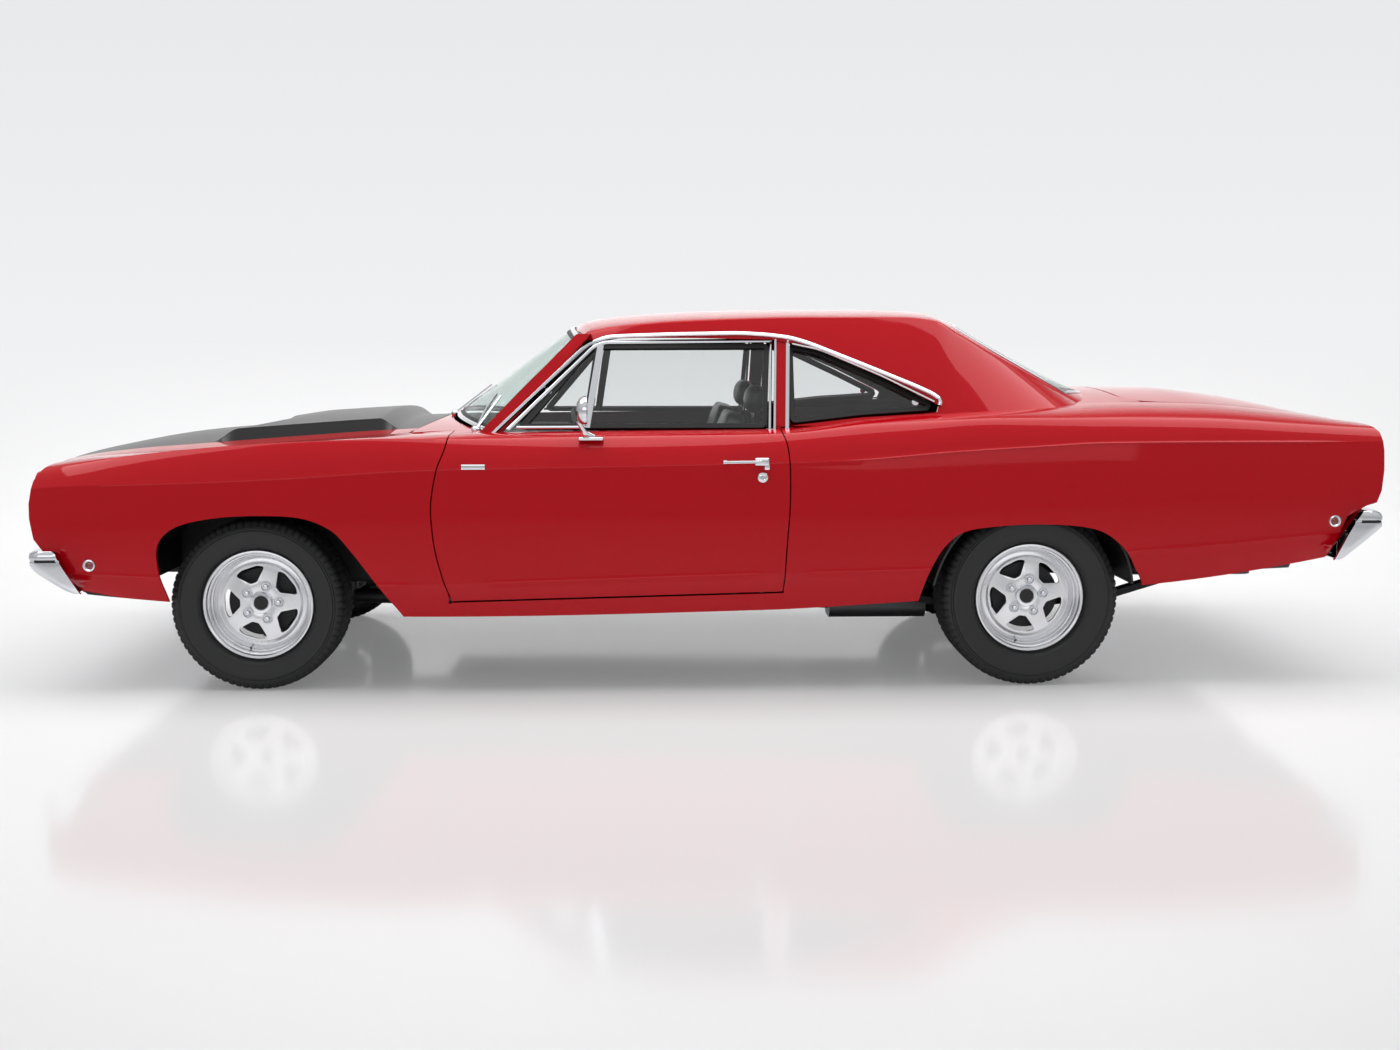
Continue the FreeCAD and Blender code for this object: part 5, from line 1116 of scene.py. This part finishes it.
def make_rear_glass():
    """Curved rear window, cut from the roof surface, with its bright surround."""
    edges = [bowed(*REAR_TOP, 12), bowed(*REAR_LOW, 12)]

    def point(t, s, inset):
        i = (s + 1) * 12
        k = min(int(i), 23)
        x, y = mixed(*[mixed(edge[k], edge[k + 1], i - k) for edge in edges], t)
        return x, y, height_at(roof_row(x, inset), abs(y))

    grids = [[[point(i / 20, s, inset) for s in fan(20)] for i in range(21)]
             for inset in (2.0, 8.0)]
    pane = piece("rear pane", closed_grid(*grids), SCREEN, "root", 40.0)
    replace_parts(pane, "rear_glass")
    surround("rear window surround", [Vector(point(t, s, 0.0)) for t, s in round_edge(20)],
             Vector((0.55, 0, 0.83)), moulding(16, 6), CHROME)


def make_pillar_skins():
    """Windshield pillar as a smooth bar; the hinge pillar below it stays as it is."""
    feet = [(-646, -751), (-640, -791), (-634, -794), (-572, -794), (-566, -790), (-566, -751)]
    heads = [(-266, -595), (-262, -656), (-256, -660), (-216, -660), (-212, -655), (-212, -595)]
    bm = bmesh.new()
    capped(bm, [[bm.verts.new(at(*mixed(foot, top, i / 12), 955 + (1350 - 955) * i / 12))
                 for foot, top in zip(feet, heads)] for i in range(13)])
    pair("windshield pillar", bm, PAINT, FIXED)


make_pillar_skins()
make_screen_trim()
make_wipers()
make_side_windows()
make_rear_glass()


# Small things on the body sides
def side_y(x, z):
    """Half width of the body side at x and height z."""
    row = body_row(x, 0.0, SIDE_ROWS)
    (y0, z0), (y1, z1) = next((a, b) for a, b in zip(row, row[1:]) if a[1] <= z <= b[1])
    return y0 + (y1 - y0) * (z - z0) / (z1 - z0)


def disc(bm, x, z, profile, segments=32, material=0):
    """Turned button on the left body side, its (radius, proud) profile pointing outwards."""
    rings = lathe(bm, [(max(r, 0.01), -out) for r, out in profile], segments, material)
    moved(rings, at(x, -side_y(x, z), z))


def make_side_details():
    bm = bmesh.new()
    for x, z in ((-2072, 493), (2619, 642)):
        disc(bm, x, z, [(24, -6), (24, 3), (22, 6), (17, 7), (14, 4), (14, -6)])
        disc(bm, x, z, [(14, -4), (14, 4), (9, 6), (0, 7), (0, -4)], 24, 1)
    pair("side marker", bm, [CHROME, LAMP_RED], FIXED)
    bm = bmesh.new()
    disc(bm, 435, 817, [(19, -5), (19, 3), (16, 6), (9, 7), (7, 5), (0, 5), (0, -5)])
    pair("door lock", bm, CHROME, DOORS)
    bm = bmesh.new()
    y = -side_y(-640, 860)
    block(bm, -685, -597, y - 5, y + 6, 849, 869, 1.6)
    pair("blank badge", bm, CHROME, DOORS)
    bm = bmesh.new()
    grip = [(290, -979, 876), (330, -987, 877), (420, -985, 878), (448, -977, 878)]
    sweep(bm, resampled(grip, 14.0), LEFT,
          [(-5, -5), (-6, 0), (-4, 4), (0, 5), (5, 4), (7, 0), (5, -5)])
    block(bm, 286, 304, -981, -939, 868, 884, 4.0)
    block(bm, 404, 458, -983, -939, 862, 892, 6.0, 3)
    block(bm, 440, 460, -979, -953, 846, 874, 4.0)
    pair("door handle", bm, CHROME, DOORS)


def make_mirror():
    bm = bmesh.new()
    turned_x(bm, -238, -950, 1066, [(0, -20), (30, -17), (46, -8), (53, 4), (56, 14), (54, 20),
                                    (50, 20), (50, 15), (0, 15)], 0, 0.86)
    sweep(bm, resampled([(-250, -946, 1026), (-228, -922, 985), (-196, -905, 968)], 12.0), FORWARD,
          circle(9, 14))
    block(bm, -252, -158, -930, -880, 953, 967, 6.0, 3)
    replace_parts(piece("mirror detail", bm, CHROME, "left_door"), "mirror")


make_side_details()
make_mirror()


# Seats: half sizes of the pleated field and distance of the seam round a pad, as shares
PLEATS_ACROSS = 0.78
PLEATS_ALONG = 0.84
SEAM_ACROSS = 0.80
SEAM_ALONG = 0.86


def cushion(name, middle, half, tilt, pleats, cuts=26, square=6):
    """Crowned, sewn pad: half sizes across, along and through; pleats are channels along it."""
    bm = bmesh.new()
    bmesh.ops.create_cube(bm, size=2.0)
    bmesh.ops.subdivide_edges(bm, edges=bm.edges[:], cuts=cuts, use_grid_fill=True)
    lean = Matrix.Rotation(math.radians(tilt), 3, "Y")
    for vert in bm.verts:
        p = vert.co.copy()
        q = p * (max(abs(v) for v in p) / sum(abs(v) ** square for v in p) ** (1 / square))
        x, y = abs(q.x), abs(q.y)
        across = q.x * (1 - 0.035 * (1 - y * y))
        along = q.y * (1 - 0.045 * (1 - x * x))
        through = q.z * (1 + 0.30 * (1 - x * x) * (1 - y * y)) * 0.78
        if pleats and abs(p.z) > 0.9:
            sunk = 5.0 * math.exp(-((max(x / SEAM_ACROSS, y / SEAM_ALONG) - 1) / 0.022) ** 2)
            if x < PLEATS_ACROSS and y < PLEATS_ALONG:
                phase = (q.x + PLEATS_ACROSS) / (2 * PLEATS_ACROSS) * pleats
                dip = 1 - abs(math.sin(math.pi * phase)) ** 0.35
                sunk += 9.0 * dip * min(1.0, (PLEATS_ALONG - y) * 9)
            through -= math.copysign(sunk / half[2], q.z)
        local = Vector((through * half[2], across * half[0], along * half[1]))
        vert.co = at(*(Vector(middle) + lean @ local))
    made = piece(name, bm, VINYL, "root", 50.0)
    return made


def make_seats():
    for side, y in (("driver", -388), ("passenger", 388)):
        seat = cushion(side + " cushion", (-2, y, 500), (243, 258, 76), 90, 7)
        cushion(side + " backrest", (288, y, 757), (238, 298, 60), 14, 7)
        cushion(side + " headrest", (441, y, 1088), (128, 60, 43), 8, 0, 22, 2.8)
        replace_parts(seat, "front_seats")
        bm = bmesh.new()
        for post in (y - 50, y + 50):
            sweep(bm, resampled([(424, post, 940), (438, post, 1062)]), FORWARD, circle(6, 16))
        piece(side + " headrest posts", bm, CHROME, "root")
        bm = bmesh.new()
        block(bm, -200, 200, y - 200, y + 200, 362, 430, 8.0)
        piece(side + " seat track", bm, TRIM_BLACK, "root")
    seat = cushion("rear cushion", (1000, 0, 520), (580, 200, 74), 90, 15, 34)
    cushion("rear backrest", (1350, 0, 790), (576, 205, 58), 23, 15, 34)
    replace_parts(seat, "rear_seat")


# Lamps and bumpers at both ends
BUMPER_BOW = 24.0
BUMPER_CORNER = 46.0
BUMPER_METAL = 7.0


def make_lamps():
    bm = bmesh.new()
    lens = [(12 * i, 13 * (i / 6) ** 2 - 13) for i in range(7)] + [(72, 6)]
    for y in (-532, -706):
        turned_x(bm, -2262, y, 706, [(70, 2), (74, -2), (79, -3), (81, 2), (82, 18), (80, 60),
                                     (70, 60)])
        turned_x(bm, -2262, y, 706, lens, 1)
    for made in pair("headlamps", bm, [CHROME, LENS], FIXED):
        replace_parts(made, "headlamps")
    bm = bmesh.new()
    block(bm, 2766, 2795, -841, -441, 791, 911, 10.0, 3)
    tint(bm, 1)
    for z in (791, 911):
        block(bm, 2780, 2799, -845, -437, z - 4, z + 4, 2.5)
    for y in (-841, -641, -441):
        block(bm, 2780, 2799, y - 4, y + 4, 787, 915, 2.5)
    for made in pair("tail lamps", bm, [CHROME, LAMP_RED], FIXED):
        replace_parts(made, "tail_lamps")


def plan_row(z, nose, half, cut_x, facing):
    """One level of a bumper in plan: left wing, corner, bowed front, corner, right wing."""
    flat_end = nose - facing * BUMPER_BOW
    radius = max(3.0, min(BUMPER_CORNER, facing * (flat_end - cut_x) - 2.0))
    row = [(cut_x + (flat_end - facing * radius - cut_x) * i / 4, -half) for i in range(4)]
    for i in range(9):
        turn = math.pi / 2 * i / 8
        row.append((flat_end - facing * radius * (1 - math.sin(turn)),
                    -half + radius * (1 - math.cos(turn))))
    reach = half - radius
    row += [(nose - facing * BUMPER_BOW * (i / 12) ** 2, -reach * i / 12)
            for i in range(11, -1, -1)]
    return [(x, y, z) for x, y in row + other_side(row[-2::-1])]


def make_bumper(name, node, facing, levels, cut_line, bracket, slot_box):
    """Pressed chrome blade: a rolled lip, a groove below it and a face that slants underneath."""
    middle = (levels[0][0] + levels[-1][0]) / 2
    bm = closed_grid(*[[plan_row(middle + (z - middle) * squeeze, nose - facing * inset,
                                 half - inset, smooth(cut_line, z), facing)
                        for z, nose, half in levels]
                       for inset, squeeze in ((0.0, 1.0), (BUMPER_METAL, 0.94))])
    x0, x1, y0, y1, z0, z1 = bracket
    block(bm, x0, x1, y0, y1, z0, z1, 3.0)
    block(bm, x0, x1, -y1, -y0, z0, z1, 3.0)
    x0, x1, z0, z1 = slot_box
    insert = bmesh.new()
    for low in (-959.5, 951.5):
        block(insert, x0, x1, low, low + 8, z0, z1)
    tint(insert, 1)
    join_mesh(bm, insert)
    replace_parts(piece(name, bm, [CHROME, SEAL], "root", 35.0), node)


def make_bumpers():
    nose_levels = [(541, -2268, 925), (549, -2287, 940), (549, -2303, 952), (541, -2315, 959),
                   (527, -2319, 962), (518, -2318, 961), (515, -2318, 955), (510, -2318, 955),
                   (507, -2318, 960), (494, -2317, 961), (476, -2304, 961), (462, -2288, 961),
                   (430, -2240, 961), (401, -2193, 961), (391, -2165, 958), (389, -2142, 950)]
    nose_cut = [(389, -2099), (521, -2178), (542, -2186), (549, -2200)]
    tail_levels = [(671, 2772, 925), (681, 2790, 940), (682, 2806, 952), (674, 2820, 959),
                   (660, 2828, 962), (648, 2828, 961), (645, 2828, 955), (640, 2828, 955),
                   (637, 2828, 960), (622, 2828, 961), (600, 2806, 961), (552, 2748, 961),
                   (502, 2686, 961), (497, 2668, 958), (495, 2652, 950)]
    tail_cut = [(495, 2611), (665, 2703), (682, 2718)]
    make_bumper("front bumper blade", "front_bumper", -1, nose_levels, nose_cut,
                (-2311, -2236, 345, 405, 508, 536), (-2262, -2188, 509, 516))
    make_bumper("rear bumper blade", "rear_bumper", 1, tail_levels, tail_cut,
                (2706, 2815, 470, 530, 636, 662), (2714, 2784, 639, 646))


make_seats()
make_lamps()
make_bumpers()


# Surroundings
def make_stage():
    s = Shader("white studio floor")
    _, depth, height = s.split()
    matt = s.node("ShaderNodeBsdfDiffuse", {"Color": (0.88, 0.88, 0.885, 1)}).outputs[0]
    shine = s.node("ShaderNodeBsdfGlossy", {"Color": (0.92, 0.92, 0.93, 1),
                                            "Roughness": s.spread(s.noise(0.8), 0.09, 0.16)})
    slant = s.node("ShaderNodeFresnel", {"IOR": 1.6}).outputs[0]
    gloss = s.maths("ADD", s.maths("MULTIPLY", slant, 0.25), 0.035)
    gloss = s.maths("MULTIPLY", gloss, s.spread(depth, 1.0, 0.0, 2.0, 6.0))
    wall = s.node("ShaderNodeEmission", {"Color": (0.985, 0.99, 1.0, 1),
                                         "Strength": s.spread(height, 0.89, 0.83, 1.2, 4.4)})
    seen = s.node("ShaderNodeLightPath").outputs["Is Camera Ray"]
    evened = s.maths("MULTIPLY", s.spread(height, 0.2, 1.0, 0.0, 1.3), seen)
    look = s.finish(s.blend(evened, s.blend(gloss, matt, shine.outputs[0]), wall.outputs[0]))
    # A floor that turns up into a wall behind the car
    wall_y, radius, top, half = 9.0, 4.0, 14.0, 24.0
    angles = [math.pi / 2 * i / 12 for i in range(13)]
    profile = [(-16.0, 0.0)] + [(wall_y - radius + radius * math.sin(angle),
                                 radius - radius * math.cos(angle)) for angle in angles]
    profile.append((wall_y, top))
    bm = bmesh.new()
    bridge(bm, [[bm.verts.new((x, y, z)) for y, z in profile] for x in (-half, half)], False)
    piece("studio floor", bm, look, None, 60.0)


def turned_to(obj, place, direction):
    """Puts a light or camera in the scene, looking in a direction."""
    obj.location = place
    obj.rotation_mode = "QUATERNION"
    obj.rotation_quaternion = direction.to_track_quat("-Z", "Y")
    bpy.context.scene.collection.objects.link(obj)


def make_light(name, place, aim, size, power):
    data = bpy.data.lights.new(name, "AREA")
    data.shape = "RECTANGLE"
    data.size, data.size_y = size
    data.energy = power
    light = bpy.data.objects.new(name, data)
    light.visible_camera = False
    turned_to(light, place, Vector(aim) - Vector(place))


def make_world():
    """Pale behind the object; for light and reflections, dim low down and brighter overhead."""
    s = Shader("studio", bpy.data.worlds)
    level = s.spread(s.split("Generated")[2], 0.10, 0.75, 0.05, 0.75)
    around = s.node("ShaderNodeBackground", {"Strength": level}).outputs[0]
    behind = s.node("ShaderNodeBackground", {"Color": (0.93, 0.93, 0.94, 1)}).outputs[0]
    ray = s.node("ShaderNodeLightPath").outputs
    share = s.node("ShaderNodeMath", {0: ray["Is Glossy Ray"], 1: 0.5, 2: ray["Is Camera Ray"]},
                   operation="MULTIPLY_ADD", use_clamp=True).outputs[0]
    bpy.context.scene.world = s.finish(s.blend(share, around, behind), "ShaderNodeOutputWorld")


make_stage()
make_world()
make_light("ceiling panel", (0.0, -0.5, 5.2), (0.0, -0.2, 0.0), (11.0, 4.0), 350.0)
make_light("front fill", (-1.0, -9.5, 3.4), (0.0, 0.0, 0.6), (12.0, 3.0), 90.0)
make_light("wall wash", (0.0, 3.5, 6.0), (0.0, 9.0, 2.5), (16.0, 2.0), 430.0)

# Camera, matched to the photograph: place in metres, turn to the right and tilt down in radians
CAMERA_PLACE = (-0.2495, -6.866, 1.335)
YAW = 0.0331
PITCH = 0.1171
camera_data = bpy.data.cameras.new("camera")
camera_data.sensor_width = 36.0
camera_data.lens = 40.95
camera_data.clip_end = 100.0
camera = bpy.data.objects.new("camera", camera_data)
turned_to(camera, CAMERA_PLACE, Vector((math.sin(YAW) * math.cos(PITCH),
                                        math.cos(YAW) * math.cos(PITCH), -math.sin(PITCH))))
bpy.context.scene.camera = camera
bpy.context.scene.view_settings.view_transform = "Standard"
